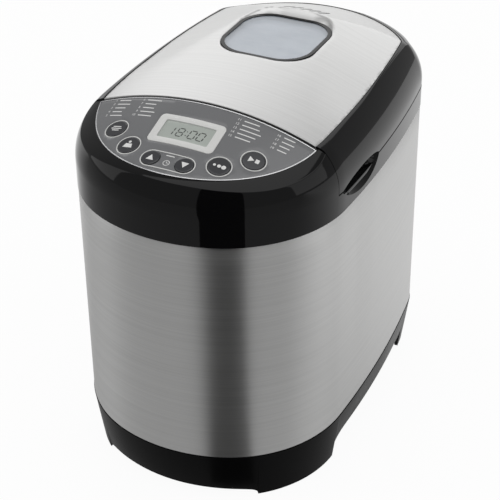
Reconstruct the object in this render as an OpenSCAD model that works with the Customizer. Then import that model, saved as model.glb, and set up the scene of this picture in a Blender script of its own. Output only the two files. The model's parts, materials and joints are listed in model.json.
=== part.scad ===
// Bread machine with a hinged lid, a viewing window and a lift-out bread pan.
// Millimetres. +Z is up, the control panel faces -Y, and X = 0 is the plane of symmetry.
// The origin is on the surface the machine stands on, below the middle of the body.

/* [Body outline] */
// Width of the body across the widest part of its sides
body_w = 219.2; // [210:0.2:235]
// Length of the body from front to rear
body_l = 338; // [330:1:360]
// Where along Y the body is widest
widest_y = -32; // [-45:1:-10]
// Radius of the gently bowed sides
side_r = 911; // [800:1:1400]
// How far the circle of the rounded front reaches past each side
front_bulge = 17.4; // [12.4:0.2:30.4]
// Radius that joins the front to the sides
front_corner_r = 100; // [85:1:104]
// How far the circle of the rounded rear reaches past each side
rear_bulge = 4.4; // [0.4:0.2:15.4]
// Radius that joins the rear to the sides
rear_corner_r = 40; // [25:1:60]

/* [Base] */
// Height of the dark base skirt
skirt_h = 46; // [42:1:55]
// How far the skirt leans in at its foot
skirt_lean = 6; // [2:0.5:8]
// Wall of the skirt
skirt_wall = 3; // [2:0.5:4]
// Height of the arch between the front feet
front_arch_h = 9; // [5:0.5:14]
// Distance from a foot inwards to the end of the arch between the front feet
front_arch_in = 4; // [0:1:12]
// Height of the arch along each side
side_arch_h = 18; // [10:0.5:18]
// How much shorter the arch of a side is at each end than the distance of the feet
side_arch_in = 30; // [28:1:42]
// Where along Y the side arch is centred
side_arch_y = 10; // [6:1:14]
// Underside of the bottom plate
bottom_z = 23; // [21:0.5:25]
// Thickness of the bottom plate
bottom_t = 3; // [2:0.5:4]
// Radius of each rubber foot
foot_r = 9; // [7:0.5:11]
// How far each rubber foot stands out of its leg
foot_out = 1; // [0.5:0.1:2]
// How deep each rubber foot sits in its leg
foot_seat = 3; // [2:0.5:4]
// Foot distance inwards from the widest part of a side
foot_side_in = 37.6; // [35.6:0.2:41.6]
// Foot distance inwards from the front and the rear
foot_end_in = 57; // [55:1:63]
// Radius of each leg around its rubber foot
leg_r = 14; // [12.5:0.5:15]
// Radius of the bore in the mains cord gland
gland_bore_r = 3.5; // [3:0.1:4.5]
// Radius of the neck of the mains cord gland
gland_r = 7; // [6:0.5:8]
// Height of the mains cord gland
gland_z = 34; // [33:0.5:36]

/* [Steel wrap] */
// Top of the brushed steel wrap
wrap_top = 240; // [225:1:246]
// Sheet thickness of the wrap
wrap_t = 0.8; // [0.6:0.1:1.2]
// How far the wrap sits inside the plastic edges
wrap_inset = 0.5; // [0.3:0.1:1]
// Number of cooling slots in each rear column
vent_count = 7; // [3:1:9]
// Length of a rear cooling slot
vent_l = 24; // [14:1:28]
// Height of a rear cooling slot
vent_h = 3; // [2:0.5:4]

/* [Top housing] */
// Top edge of the collar, where the lid meets it
collar_top = 257.6; // [254:0.2:259]
// Wall of the gloss housing and of the lid frame
shell_t = 3; // [2.4:0.2:3.6]
// Height where the shoulder starts to lean in
shoulder_z = 262; // [260:1:266]
// Depth of the ellipse the shoulder follows
shoulder_depth = 58; // [50:1:62]
// Height of the ellipse the shoulder follows
shoulder_height = 48; // [46:1:56]
// Height where the shoulder ends under the top sheets
shoulder_top = 297.5; // [296:0.5:299]
// Top of the deck around the oven
deck_z = 252; // [250:0.5:253]
// Thickness of the deck
deck_t = 2.5; // [2:0.5:3.5]
// Distance from the front to the plane between the front housing and the lid
panel_room = 86; // [83:0.5:89]
// Gap between the front housing and the lid
split_gap = 0.5; // [0.4:0.1:1]
// Length of the finger notch in each side
notch_l = 62; // [50:1:70]
// Depth of the finger notch
notch_depth = 8; // [6:0.5:8.5]
// Where along Y the finger notch is centred
notch_y = -39; // [-42:1:-36]
// Floor of the finger notch
notch_floor_z = 245; // [243:0.5:246]

/* [Control panel] */
// Radius of the crown across the top
crown_r = 249; // [235:1:290]
// Height of the top at the split, on the plane of symmetry
crest_z = 310.4; // [308:0.2:313]
// Slope of the control panel, in degrees
panel_tilt = 17.1; // [14:0.1:19]
// Distance from the round edge of the panel out to the widest part of a side
panel_side_in = 17.5; // [16.6:0.1:21.6]
// Distance from the front to the centre of the round edge of the panel
panel_end_in = 106.1; // [105.9:0.1:107.9]
// Thickness of the panel
panel_t = 2.5; // [2:0.1:3]
// Width of the bright line around the panel
trim_w = 1.3; // [0.8:0.1:1.8]
// How far the bright line stands above the panel
trim_out = 0.4; // [0.2:0.1:0.8]
// Radius of a round button
button_r = 8.4; // [7.5:0.1:9]
// Radius of a time button
time_r = 6.9; // [6:0.1:7.2]
// Distance of each time button from the middle
time_x = 13.6; // [13:0.1:15]
// Width of the light ring around a button
bezel_w = 0.8; // [0.5:0.1:1.1]
// Gap around a button
button_gap = 0.3; // [0.3:0.05:0.5]
// How far a button stands above the panel
button_out = 0.7; // [0.4:0.1:1]
// Travel of a button
button_travel = 0.8; // [0.5:0.1:0.8]
// Width of the display frame
display_w = 54; // [48:0.5:56]
// Length of the display frame along the slope
display_l = 29; // [26:0.5:30]
// Width of the display glass
glass_w = 41; // [36:0.5:44]
// Length of the display glass along the slope
glass_l = 18; // [15:0.5:20]
// Distance of the display from the rear edge of the panel
display_v = -32.6; // [-34:0.1:-31.6]
// Depth of the switch carrier below the panel
carrier_depth = 10; // [9:0.5:11]

/* [Lid] */
// Underside of the lid frame
lid_z = 258; // [258:0.1:260]
// Width of the gloss frame seen from above around the steel cover
frame_w = 18.5; // [17.5:0.5:19]
// Sheet thickness of the lid cover
cover_t = 1.5; // [1:0.1:2]
// Slope of the middle of the lid, in degrees
lid_tilt = 2.9; // [2:0.1:3.5]
// Slope of each side of the lid, in degrees
flank_tilt = 20.8; // [19.5:0.1:22]
// Height at which the two flanks would meet in the middle
flank_z = 329.6; // [328.5:0.1:331]
// Slope of the rear of the lid, in degrees
rear_tilt = 20.2; // [18:0.1:22]
// Where along Y the rear slope starts
brow_y = 79.7; // [78:0.1:84]
// Half width of the window ring
window_w = 39.5; // [36:0.5:41]
// Where along Y the window is centred
window_y = 37.3; // [34:0.1:38]
// Corner radius of the window
window_r = 26; // [20:1:32]
// Top of the window ring
window_z = 312.8; // [311.5:0.1:313]
// Width of the window ring
window_ring_w = 3; // [2:0.2:4]
// Depth of the window ring
window_ring_h = 3.4; // [3:0.1:4]
// Thickness of the window panes
pane_t = 2.6; // [2:0.1:3]
// Underside of the inner liner of the lid
liner_z = 264; // [263.5:0.1:264.5]
// Sheet thickness of the inner liner
liner_t = 1.2; // [0.8:0.1:1.6]
// Number of steam slots in the rear slope
steam_count = 5; // [3:1:6]
// Length of a steam slot
steam_l = 13; // [8:0.5:15]
// Width of a steam slot
steam_w = 3; // [2:0.1:3.5]
// Distance between steam slots
steam_pitch = 7.8; // [7:0.1:9]

// Extra slope towards the rear of each side of the lid, behind its middle, in degrees
corner_tilt = 4.8; // [4:0.1:6]
// Where along Y the sides of the lid start to fall away
corner_y = 59.2; // [56:0.2:60]

/* [Hinge] */
// Distance of the hinge axis from the rear
hinge_in = 12; // [11.5:0.5:14]
// Hinge axis height
hinge_z = 262.4; // [262.2:0.1:263]
// Radius of a hinge knuckle
knuckle_r = 4.2; // [3.8:0.1:4.2]
// Radius of a hinge pin
pin_r = 1.5; // [1.2:0.1:2]
// Where the middle of each hinge is, across
hinge_x = 27; // [22:0.5:30]
// Width of the knuckle on the lid
knuckle_w = 7.4; // [6:0.2:9]
// Width of each ear on the body
ear_w = 6; // [4:0.5:7]
// Half width of the pocket around the hinges
pocket_w = 52; // [52:0.5:55]

/* [Oven] */
// Distance from the oven out to the widest part of a side
oven_side_in = 25.6; // [24.6:0.2:29.6]
// How much shorter the oven is than the body, at each end
oven_end_in = 81; // [80:0.5:82]
// Middle of the oven along Y
oven_y = 35; // [34:0.5:36]
// Corner radius of the oven
oven_r = 30; // [26:1:36]
// Floor of the oven
oven_z = 57; // [56:0.5:58]
// Sheet thickness of the oven
oven_t = 1; // [0.8:0.1:1.2]
// Width of the flange that rests on the deck
flange_w = 8; // [7:0.5:9]
// Radius of the heating tube
heater_r = 3.2; // [2.8:0.1:3.4]
// Height of the heating tube
heater_z = 92; // [88:0.5:98]
// Gap from the heating loop to the side of the oven
heater_side_gap = 12; // [10:0.5:14]
// Gap from the heating loop to the end of the oven
heater_end_gap = 7.5; // [7:0.1:8]
// Bend radius of the heating loop
heater_bend = 20; // [16:0.5:22]
// Half distance between the ends of the heating loop
heater_gap = 12; // [10:0.5:16]
// Radius of the temperature probe
probe_r = 2.5; // [2:0.1:3]

/* [Bread pan] */
// Gap from the wall of the pan to the side of the oven
pan_side_gap = 22; // [21:0.5:28]
// Gap from the wall of the pan to the end of the oven
pan_end_gap = 12; // [12:0.5:14]
// How far each wall leans in at the bottom
pan_lean = 4; // [2:0.5:5]
// Corner radius of the pan
pan_r = 22; // [18:1:28]
// Underside of the pan
pan_z = 74; // [73:0.5:75]
// Top of the pan rim
pan_top = 193.5; // [180:0.5:195]
// Wall of the pan
pan_t = 1.2; // [1:0.1:1.6]
// Width of the pan rim
rim_w = 4; // [3:0.5:4.5]
// Thickness of the pan rim
rim_t = 2.4; // [1.6:0.2:3]
// Radius of the handle wire
wire_r = 2; // [1.6:0.1:2]
// Length of the handle arms
handle_l = 62; // [60:0.5:63]
// Radius of the foot ring of the pan
ring_r = 44; // [40:0.5:46]
// Wall of the foot ring
ring_t = 3; // [2:0.5:4]
// Height of the socket around the foot ring
socket_h = 11; // [8:0.5:13]

/* [Drive] */
// Radius of the kneading shaft and of the drive shaft
shaft_r = 4; // [3.5:0.1:4.5]
// Running clearance of every shaft and pin
run_gap = 0.05; // [0.03:0.01:0.1]
// Length of the paddle blade from the shaft
blade_l = 42; // [36:1:46]
// Height of the paddle blade
blade_h = 19; // [14:0.5:20]
// Thickness of the paddle blade
blade_t = 4; // [3:0.2:5]
// Radius of the large pulley
big_r = 42; // [38:0.5:44]
// Radius of the motor pulley
small_r = 8; // [7:0.5:10]
// Width of the belt
belt_w = 8; // [6:0.5:9]
// Thickness of the belt
belt_t = 2.4; // [1.6:0.1:3]
// Gap between the belt and a pulley
belt_gap = 0.3; // [0.3:0.05:0.6]
// Underside of the pulleys
pulley_z = 31; // [30:0.5:31.5]
// Distance of the motor from the front
motor_in = 57; // [55:1:61]
// Radius of the motor
motor_r = 36; // [30:0.5:37]
// Height of the motor
motor_h = 68; // [50:1:80]
// Radius of the motor shaft
motor_shaft_r = 3; // [2.5:0.1:3.5]
// Number of blades on the cooling fan
fan_blades = 7; // [5:1:9]
// Radius of the cooling fan
fan_r = 30; // [24:1:33]

/* [Hidden] */
front_r = body_w / 2 + front_bulge;
rear_r = body_w / 2 + rear_bulge;
foot_x = body_w / 2 - foot_side_in;
foot_y = body_l / 2 - foot_end_in;
front_arch_w = foot_x - front_arch_in;
side_arch_w = foot_y - side_arch_in;
split_y = panel_room - body_l / 2;
panel_r = body_w / 2 - panel_side_in;
panel_y = panel_end_in - body_l / 2;
hinge_y = body_l / 2 - hinge_in;
oven_w = body_w / 2 - oven_side_in;
oven_l = body_l / 2 - oven_end_in;
heater_w = oven_w - heater_side_gap;
heater_l = oven_l - heater_end_gap;
pan_w = oven_w - pan_side_gap;
pan_l = oven_l - pan_end_gap;
motor_y = motor_in - body_l / 2;
$fn = 48;
fine = 128;      // facets of a large circle
slice = 0.01;    // thickness of a slice in a lofted shape
far = 400;       // reach of a cutting shape
eps = 0.02;      // overlap of a cut with the face it opens

gloss_black = [0.03, 0.03, 0.035];
satin_black = [0.07, 0.07, 0.075];
steel = [0.72, 0.72, 0.72];
dark_steel = [0.42, 0.42, 0.43];
aluminium = [0.8, 0.81, 0.82];
panel_grey = [0.23, 0.23, 0.24];
off_white = [0.9, 0.9, 0.88];
pan_grey = [0.2, 0.2, 0.21];

// ---- plan outline: five tangent arcs on each side ----
side_c = [body_w / 2 - side_r, widest_y];
function end_c(s) = [0, s * (body_l / 2 - (s < 0 ? front_r : rear_r))];
function end_r(s) = s < 0 ? front_r : rear_r;
function join_r(s) = s < 0 ? front_corner_r : rear_corner_r;
// centre of the arc that touches both the side arc and the end arc from inside
function join_c(s) =
    let (a = side_r - join_r(s), b = end_r(s) - join_r(s), v = end_c(s) - side_c,
         d = norm(v), u = v / d, t = (a * a - b * b + d * d) / (2 * d),
         h = sqrt(max(0, a * a - t * t)))
    side_c + u * t + s * h * [-u[1], u[0]];
function angle_of(v) = atan2(v[1], v[0]);
function arc(c, r, a0, a1, n) = [for (i = [0 : n - 1]) let (a = a0 + (a1 - a0) * i / n)
                                 c + r * [cos(a), sin(a)]];
front_turn = angle_of(join_c(-1) - end_c(-1));
front_side = angle_of(join_c(-1) - side_c);
rear_side = angle_of(join_c(1) - side_c);
rear_turn = angle_of(join_c(1) - end_c(1));
function half_outline(d) = concat(
    arc(end_c(-1), front_r - d, -90, front_turn, 3),
    arc(join_c(-1), front_corner_r - d, front_turn, front_side, 10),
    arc(side_c, side_r - d, front_side, rear_side, 5),
    arc(join_c(1), rear_corner_r - d, rear_side, rear_turn, 3),
    arc(end_c(1), rear_r - d, rear_turn, 90, 8),
    [[0, body_l / 2 - d]]);
function outline_points(d) =
    let (h = half_outline(d), n = len(h))
    concat(h, [for (i = [n - 2 : -1 : 1]) [-h[i][0], h[i][1]]]);

module outline(d = 0) {
    polygon(outline_points(d));
}

// a wall that follows the outline
module outline_wall(z0, z1, d0, d1) {
    translate([0, 0, z0])
        linear_extrude(z1 - z0)
            difference() {
                outline(d0);
                outline(d1);
            }
}

module outline_block(z0, z1, d) {
    translate([0, 0, z0]) linear_extrude(z1 - z0) outline(d);
}

// a solid whose section at each level [z, inset] is the outline moved in by inset
module outline_loft(levels) {
    n = len(outline_points(0));
    last = len(levels) - 1;
    polyhedron(
        points = [for (l = levels, p = outline_points(l[1])) [p[0], p[1], l[0]]],
        faces = concat(
            [[for (i = [0 : n - 1]) i], [for (i = [n - 1 : -1 : 0]) last * n + i]],
            [for (k = [0 : last - 1], i = [0 : n - 1]) let (j = (i + 1) % n)
             [k * n + i, (k + 1) * n + i, (k + 1) * n + j, k * n + j]]));
}

// ---- shared surfaces of the top ----
shoulder_steps = 5;
function shoulder_in(z) = z <= shoulder_z ? 0
    : shoulder_depth * (1 - sqrt(1 - pow((z - shoulder_z) / shoulder_height, 2)));

// the closed dome of housing and lid, its wall moved in by d
module dome(d, z0) {
    outline_loft(concat([[z0, d]],
        [for (i = [0 : shoulder_steps])
         let (z = shoulder_z + (shoulder_top - shoulder_z) * i / shoulder_steps)
         [z, d + shoulder_in(z)]]));
}

// everything below a crowned surface through the split, lowered by drop
module below_crown(y, z, tilt, drop) {
    translate([0, y, z])
        rotate([tilt, 0, 0])
            translate([0, 0, -crown_r])
                rotate([90, 0, 0])
                    cylinder(h = 2 * far, r = crown_r - drop, center = true, $fn = fine);
}

module below_panel(drop = 0) {
    below_crown(split_y, crest_z, panel_tilt, drop);
}

brow_z = crest_z + (brow_y - split_y) * tan(lid_tilt);
module below_lid_middle(drop = 0) {
    below_crown(split_y, crest_z, lid_tilt, drop);
}

module below_flank(drop, fall) {
    translate([0, corner_y, flank_z])
        rotate([-fall, flank_tilt, 0])
            translate([-far, -far, -far - drop])
                cube([2 * far, 2 * far, far]);
}

// the hipped top of the lid: crowned middle, two flanks and a rear slope
module below_lid(drop = 0) {
    intersection() {
        below_lid_middle(drop);
        below_crown(brow_y, brow_z, -rear_tilt, drop);
        below_flank(drop, 0);
        below_flank(drop, corner_tilt);
        mirror([1, 0, 0]) below_flank(drop, 0);
        mirror([1, 0, 0]) below_flank(drop, corner_tilt);
    }
}

module ahead_of(y, top = far) {
    translate([-far, y - far, 0]) cube([2 * far, far, top]);
}

module behind(y) {
    translate([-far, y, 0]) cube([2 * far, far, far]);
}

module rounded_square(w, l, r) {
    translate([-w + r, -l])
        square([2 * (w - r), 2 * l]);
    translate([-w, -l + r])
        square([2 * w, 2 * (l - r)]);
    for (x = [-1, 1], y = [-1, 1])
        translate([x * (w - r), y * (l - r)]) circle(r);
}

module rounded_block(w, l, r, z0, z1, y = 0) {
    translate([0, y, z0]) linear_extrude(z1 - z0) rounded_square(w, l, r);
}

module rod(a, b, r) {
    v = b - a;
    translate(a)
        rotate([0, acos(v[2] / norm(v)), atan2(v[1], v[0])])
            cylinder(h = norm(v), r = r);
}

// ---- base ----
function skirt_in(z) = 0.2 + skirt_lean * (1 - z / skirt_h);

module skirt_volume(d) {
    outline_loft([[foot_out, skirt_in(foot_out) + d], [skirt_h, skirt_in(skirt_h) + d]]);
}

// an arch with a flat crown and rounded shoulders, cut along Y
module arch(w, h, depth) {
    steps = 24;
    bend = 4;
    rotate([90, 0, 0])
        linear_extrude(depth, center = true)
            polygon(concat([[-w, -1], [w, -1]],
                [for (i = [0 : steps]) let (t = cos(180 * i / steps))
                 [w * t, h * pow(max(0, 1 - pow(abs(t), bend)), 1 / bend)]]));
}

module at_feet() {
    for (x = [-1, 1], y = [-1, 1])
        translate([x * foot_x, y * foot_y, 0]) children();
}

ledge_w = 7;
ledge_t = 3;
gland_turn = 30;
gland_flange = 2;
gland_out = rear_r - skirt_in(gland_z) - 0.4;
module at_gland() {
    translate([end_c(1)[0], end_c(1)[1], gland_z])
        rotate([0, 0, 90 + gland_turn])
            rotate([0, 90, 0])
                children();
}

module base_skirt() {
    color(satin_black)
    difference() {
        union() {
            difference() {
                skirt_volume(0);
                outline_loft([[0, skirt_in(0) + skirt_wall], [skirt_h + 1, skirt_in(skirt_h) + skirt_wall]]);
                translate([0, -body_l / 2, 0]) arch(front_arch_w, front_arch_h, 2 * body_l / 5);
                translate([0, body_l / 2, 0]) arch(front_arch_w, front_arch_h, 2 * body_l / 5);
                translate([0, side_arch_y, 0])
                    rotate([0, 0, 90]) arch(side_arch_w, side_arch_h, 2 * body_w);
            }
            outline_wall(bottom_z - ledge_t, bottom_z, skirt_in(bottom_z) + skirt_wall - 1,
                         skirt_in(bottom_z) + skirt_wall + ledge_w);
            intersection() {
                skirt_volume(1);
                at_feet() translate([0, 0, foot_out]) cylinder(h = bottom_z - foot_out, r = leg_r);
            }
            // lip that the wrap fits around
            outline_wall(skirt_h - 3, skirt_h + 5, wrap_inset + wrap_t + 0.1, skirt_wall + 1.5);
        }
        at_feet() cylinder(h = foot_out + foot_seat, r = foot_r);
        at_gland() {
            cylinder(h = rear_r + 10, r = gland_r);
            // flat seat of its flange
            translate([0, 0, gland_out]) cylinder(h = 10, r = gland_r + gland_flange);
        }
        at_feet() cylinder(h = far, r = screw_r);
    }
}

screw_r = 2;
module bottom_screws() {
    color(steel)
    at_feet() {
        translate([0, 0, foot_out + foot_seat])
            cylinder(h = bottom_z + bottom_t - foot_out - foot_seat, r = screw_r);
        translate([0, 0, bottom_z + bottom_t])
            cylinder(h = 1.8, r = 2 * screw_r);
    }
}

module rubber_feet() {
    color(satin_black)
    at_feet() {
        cylinder(h = foot_out, r1 = foot_r - foot_out, r2 = foot_r);
        translate([0, 0, foot_out]) cylinder(h = foot_seat, r = foot_r);
    }
}

module cord_gland() {
    neck = 10;
    flange_t = 2;
    color(satin_black)
    at_gland()
        difference() {
            union() {
                translate([0, 0, gland_out - neck]) cylinder(h = neck, r = gland_r);
                translate([0, 0, gland_out]) cylinder(h = flange_t, r = gland_r + gland_flange);
            }
            cylinder(h = rear_r + 10, r = gland_bore_r);
        }
}

post_r = 5;
// posts of the chassis: inwards of the feet, and two in front of the motor
post_x = foot_x - 12;
post_places = [[post_x, 52 - foot_y], [post_x, foot_y - 42], [34, 21 - body_l / 2]];
module at_posts() {
    for (p = post_places, s = [-1, 1])
        translate([s * p[0], p[1], 0]) children();
}

chassis_z = 47;
chassis_t = 2.5;
module bottom_plate() {
    slot_l = 34;
    slot_w = 4;
    color(satin_black)
    difference() {
        union() {
            outline_block(bottom_z, bottom_z + bottom_t, skirt_in(bottom_z) + skirt_wall + 0.4);
            at_posts() translate([0, 0, bottom_z]) cylinder(h = chassis_z - bottom_z, r = post_r);
        }
        for (y = [-20 : 10 : 20], x = [-1, 1])
            translate([x * post_x, oven_y + y, bottom_z + bottom_t / 2])
                cube([slot_l, slot_w, 2 * bottom_t], center = true);
        for (y = [-12 : 8 : 12])
            translate([0, motor_y + y - 6, bottom_z + bottom_t / 2])
                cube([slot_l, slot_w, 2 * bottom_t], center = true);
        at_feet() cylinder(h = far, r = screw_r);
    }
}

// ---- steel wrap ----
module steel_wrap() {
    pitch = 2.2 * vent_h;
    color(steel)
    difference() {
        outline_wall(skirt_h, wrap_top, wrap_inset, wrap_inset + wrap_t);
        for (i = [0 : vent_count - 1], s = [-1, 1])
            translate([s * (vent_l / 2 + 12), body_l / 2 - 8, skirt_h + 24 + i * pitch])
                cube([vent_l, 40, vent_h], center = true);
    }
}

module wrap_seam() {
    color(steel)
    translate([-7, body_l / 2 - wrap_inset - wrap_t - 1.6, skirt_h + 5])
        cube([14, 1, wrap_top - skirt_h - 11]);
}

// ---- top housing ----
module notch_cut() {
    bulge = (pow(notch_l / 2, 2) + pow(notch_depth, 2)) / (2 * notch_depth);
    for (s = [-1, 1])
        intersection() {
            translate([s * (body_w / 2 - notch_depth + bulge), notch_y, 0])
                cylinder(h = far, r = bulge, $fn = fine);
            translate([s * body_w / 2, notch_y, 0])
                rotate([90, 0, 90])
                    linear_extrude(4 * notch_depth, center = true)
                        offset(r = 3)
                            polygon([[-notch_l / 2 + 3, collar_top + 1],
                                     [-4, notch_floor_z + 3],
                                     [notch_l / 2 - 5, notch_floor_z + 3],
                                     [notch_l / 2 - 3, collar_top + 6],
                                     [-notch_l / 2 + 3, collar_top + 6]]);
        }
}

module notch_backing() {
    for (s = [-1, 1])
        intersection() {
            outline_block(notch_floor_z - 3, collar_top, 0.2);
            translate([s * (body_w / 2 - 6.5), notch_y, (notch_floor_z + collar_top) / 2])
                cube([12.5, notch_l + 6, far], center = true);
        }
}

module oven_hole(extra, z0, z1) {
    rounded_block(oven_w + oven_t + extra, oven_l + oven_t + extra, oven_r + oven_t + extra,
                  z0, z1, oven_y);
}

module top_housing() {
    ledge_t = 3;
    ledge_w = 1.8;
    color(gloss_black)
    difference() {
        union() {
            // collar band, deck and the lip inside the wrap
            outline_wall(wrap_top, collar_top, 0, shell_t);
            outline_wall(wrap_top - 5, wrap_top + 1, wrap_inset + wrap_t + 0.1, shell_t + 1.5);
            difference() {
                intersection() {
                    outline_block(deck_z - deck_t, deck_z, shell_t - 1);
                    behind(split_y - shell_t);
                }
                oven_hole(0.2, 0, far);
            }
            notch_backing();
            // rounded front with the wall behind the panel
            difference() {
                intersection() {
                    dome(0, wrap_top);
                    below_panel(0);
                    ahead_of(split_y);
                }
                intersection() {
                    dome(shell_t, wrap_top - 1);
                    below_panel(panel_t + ledge_t);
                    union() {
                        ahead_of(split_y - shell_t);
                        ahead_of(split_y + shell_t, deck_z - deck_t);
                    }
                }
                // seat of the panel and its trim, and the opening inside its ledge
                difference() {
                    linear_extrude(far) panel_plan(trim_w);
                    below_panel(panel_t);
                }
                translate([0, 0, wrap_top + 1]) linear_extrude(far) panel_plan(-ledge_w);
            }
        }
        notch_cut();
    }
}

module panel_plan(d) {
    difference() {
        translate([0, panel_y]) circle(panel_r + d, $fn = fine);
        translate([-far, split_y - trim_w + d]) square([2 * far, far]);
    }
}

// places children on the panel: u across, v along the slope, z along the local normal
module on_panel(u, v) {
    translate([0, split_y, crest_z])
        rotate([panel_tilt, 0, 0])
            translate([0, v, -crown_r])
                rotate([0, asin(u / crown_r), 0])
                    translate([0, 0, crown_r])
                        children();
}

// a piece of the crowned panel between two depths, cut to a flat shape
module panel_piece(up, down) {
    difference() {
        intersection() {
            translate([0, split_y, crest_z])
                rotate([panel_tilt, 0, 0])
                    translate([0, 0, -30]) linear_extrude(40) children();
            below_panel(-up);
        }
        below_panel(down);
    }
}

round_buttons = [["menu", -56.3, -39.1], ["weight", -36.9, -54.8],
                 ["colour", 36.9, -54.8], ["start", 56.3, -39.1]];
time_v = -63.3;

module at_buttons() {
    for (b = round_buttons)
        on_panel(b[1], b[2]) children(0);
    for (s = [-1, 1])
        on_panel(s * time_x, time_v) children(1);
}

module control_panel() {
    color(panel_grey)
    difference() {
        intersection() {
            linear_extrude(far) panel_plan(0);
            below_panel(0);
        }
        below_panel(panel_t);
        translate([0, split_y, crest_z])
            rotate([panel_tilt, 0, 0])
                translate([0, display_v, -30]) linear_extrude(60)
                    rounded_square(display_w / 2, display_l / 2, 4);
        at_buttons() {
            cylinder(h = 40, r = button_r + button_gap + bezel_w, center = true);
            cylinder(h = 40, r = time_r + button_gap, center = true);
        }
        panel_piece(1, time_ring_t) time_ring();
    }
}

// the long ring that holds both time buttons, let into the panel
time_ring_t = 0.6;
time_ring_l = time_r + button_gap + 0.2 + bezel_w;
module time_ring() {
    translate([0, time_v])
        difference() {
            rounded_square(time_x + time_ring_l, time_ring_l, time_ring_l - 0.01);
            rounded_square(time_x + time_ring_l - bezel_w, time_ring_l - bezel_w,
                           time_ring_l - bezel_w - 0.01);
        }
}

module panel_trim() {
    color([0.85, 0.85, 0.86])
    difference() {
        intersection() {
            linear_extrude(far)
                difference() {
                    panel_plan(trim_w);
                    panel_plan(0);
                }
            below_panel(-trim_out);
        }
        below_panel(panel_t);
    }
}

module button_bezels() {
    bezel_up = 0.2;
    color(off_white) {
        for (b = round_buttons)
            on_panel(b[1], b[2])
                translate([0, 0, -panel_t])
                    difference() {
                        cylinder(h = panel_t + bezel_up, r = button_r + button_gap + bezel_w);
                        cylinder(h = 20, r = button_r + button_gap, center = true);
                    }
        panel_piece(bezel_up, time_ring_t) time_ring();
    }
}

module display_frame() {
    color(off_white)
    panel_piece(0.3, panel_t)
        translate([0, display_v])
            difference() {
                rounded_square(display_w / 2, display_l / 2, 4);
                rounded_square(glass_w / 2, glass_l / 2, 1.5);
            }
}

module display_glass() {
    color([0.5, 0.55, 0.52])
    panel_piece(-0.3, panel_t + 1)
        translate([0, display_v]) rounded_square(glass_w / 2, glass_l / 2, 1.5);
}

switch_h = 2.4;
stem_gap = button_travel + 0.1;
board_v = -38;
module switch_carrier() {
    color([0.16, 0.3, 0.2]) {
        intersection() {
            panel_piece(-carrier_depth, carrier_depth + 1.6)
                intersection() {
                    translate([0, board_v]) rounded_square(72, 34, 12);
                    translate([0, panel_y - split_y + 3]) circle(panel_r - 7);
                }
            ahead_of(split_y - shell_t - 0.3);
        }
        at_buttons() {
            switch_body();
            switch_body();
        }
        // posts up to the panel
        for (p = [[-33, -30], [33, -30], [-24, -48], [24, -48]])
            on_panel(p[0], p[1])
                translate([0, 0, -carrier_depth - 0.3])
                    cylinder(h = carrier_depth - panel_t + 0.25, r = 2.5);
    }
}

module switch_body() {
    translate([0, 0, -carrier_depth - 0.3]) cylinder(h = switch_h + 0.3, r = 3.2);
}

board_depth = 19;
module control_board() {
    translate([0, split_y, crest_z])
        rotate([panel_tilt, 0, 0]) {
            color([0.16, 0.3, 0.2])
                translate([0, board_v + 4, -board_depth - 1.6])
                    linear_extrude(1.6) rounded_square(40, 20, 2);
            color([0.1, 0.1, 0.1])
                for (x = [-30, -8, 16], y = [-10, 8])
                    translate([x, board_v + 4 + y, -board_depth - 6])
                        cube([12, 7, 4.4 + 0.01]);
            // posts up to the carrier
            color([0.16, 0.3, 0.2])
                for (x = [-34, 34])
                    translate([x, board_v + 4, -board_depth])
                        cylinder(h = board_depth - carrier_depth - 1.6
                                 - crown_r * (1 - cos(asin(35 / crown_r))), r = 2);
        }
}

module button(r) {
    flange_top = panel_t + 0.5;
    flange = 1.2;
    flange_out = 1.1;
    dome_h = 0.5;
    bottom = carrier_depth - switch_h - stem_gap;
    rotate_extrude()
        polygon(concat(
            [[0, -bottom], [3, -bottom], [3, -flange_top - flange],
             [r + flange_out, -flange_top - flange], [r + flange_out, -flange_top], [r, -flange_top],
             [r, button_out - dome_h]],
            [for (i = [1 : 6]) let (a = 90 * i / 6)
             [r - 1.2 + 1.2 * cos(a), button_out - dome_h + dome_h * sin(a)]],
            [[0, button_out]]));
}

module round_button(i) {
    color(panel_grey)
    on_panel(round_buttons[i][1], round_buttons[i][2]) button(button_r);
}

module button_menu() {
    round_button(0);
}

module button_weight() {
    round_button(1);
}

module button_colour() {
    round_button(2);
}

module button_start() {
    round_button(3);
}

module button_time_up() {
    color(panel_grey)
    on_panel(-time_x, time_v) button(time_r);
}

module button_time_down() {
    color(panel_grey)
    on_panel(time_x, time_v) button(time_r);
}

// ---- oven ----
module oven_chamber() {
    color(dark_steel)
    difference() {
        union() {
            oven_hole(0, oven_z - oven_t, deck_z + oven_t);
            oven_hole(flange_w, deck_z, deck_z + oven_t);
        }
        oven_hole(-oven_t, oven_z, far);
        translate([0, oven_y, 0]) cylinder(h = far / 4, r = bearing_neck_r + 0.2);
        for (x = [-1, 1])
            translate([x * heater_gap, oven_y - oven_l, heater_z])
                rotate([90, 0, 0]) cylinder(h = 10, r = sleeve_r, center = true);
        translate([probe_x, oven_y - oven_l, probe_z])
            rotate([90, 0, 0]) cylinder(h = 10, r = probe_r, center = true);
    }
}

sleeve_r = 5.5;
probe_x = 40;
probe_z = 130;

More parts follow.
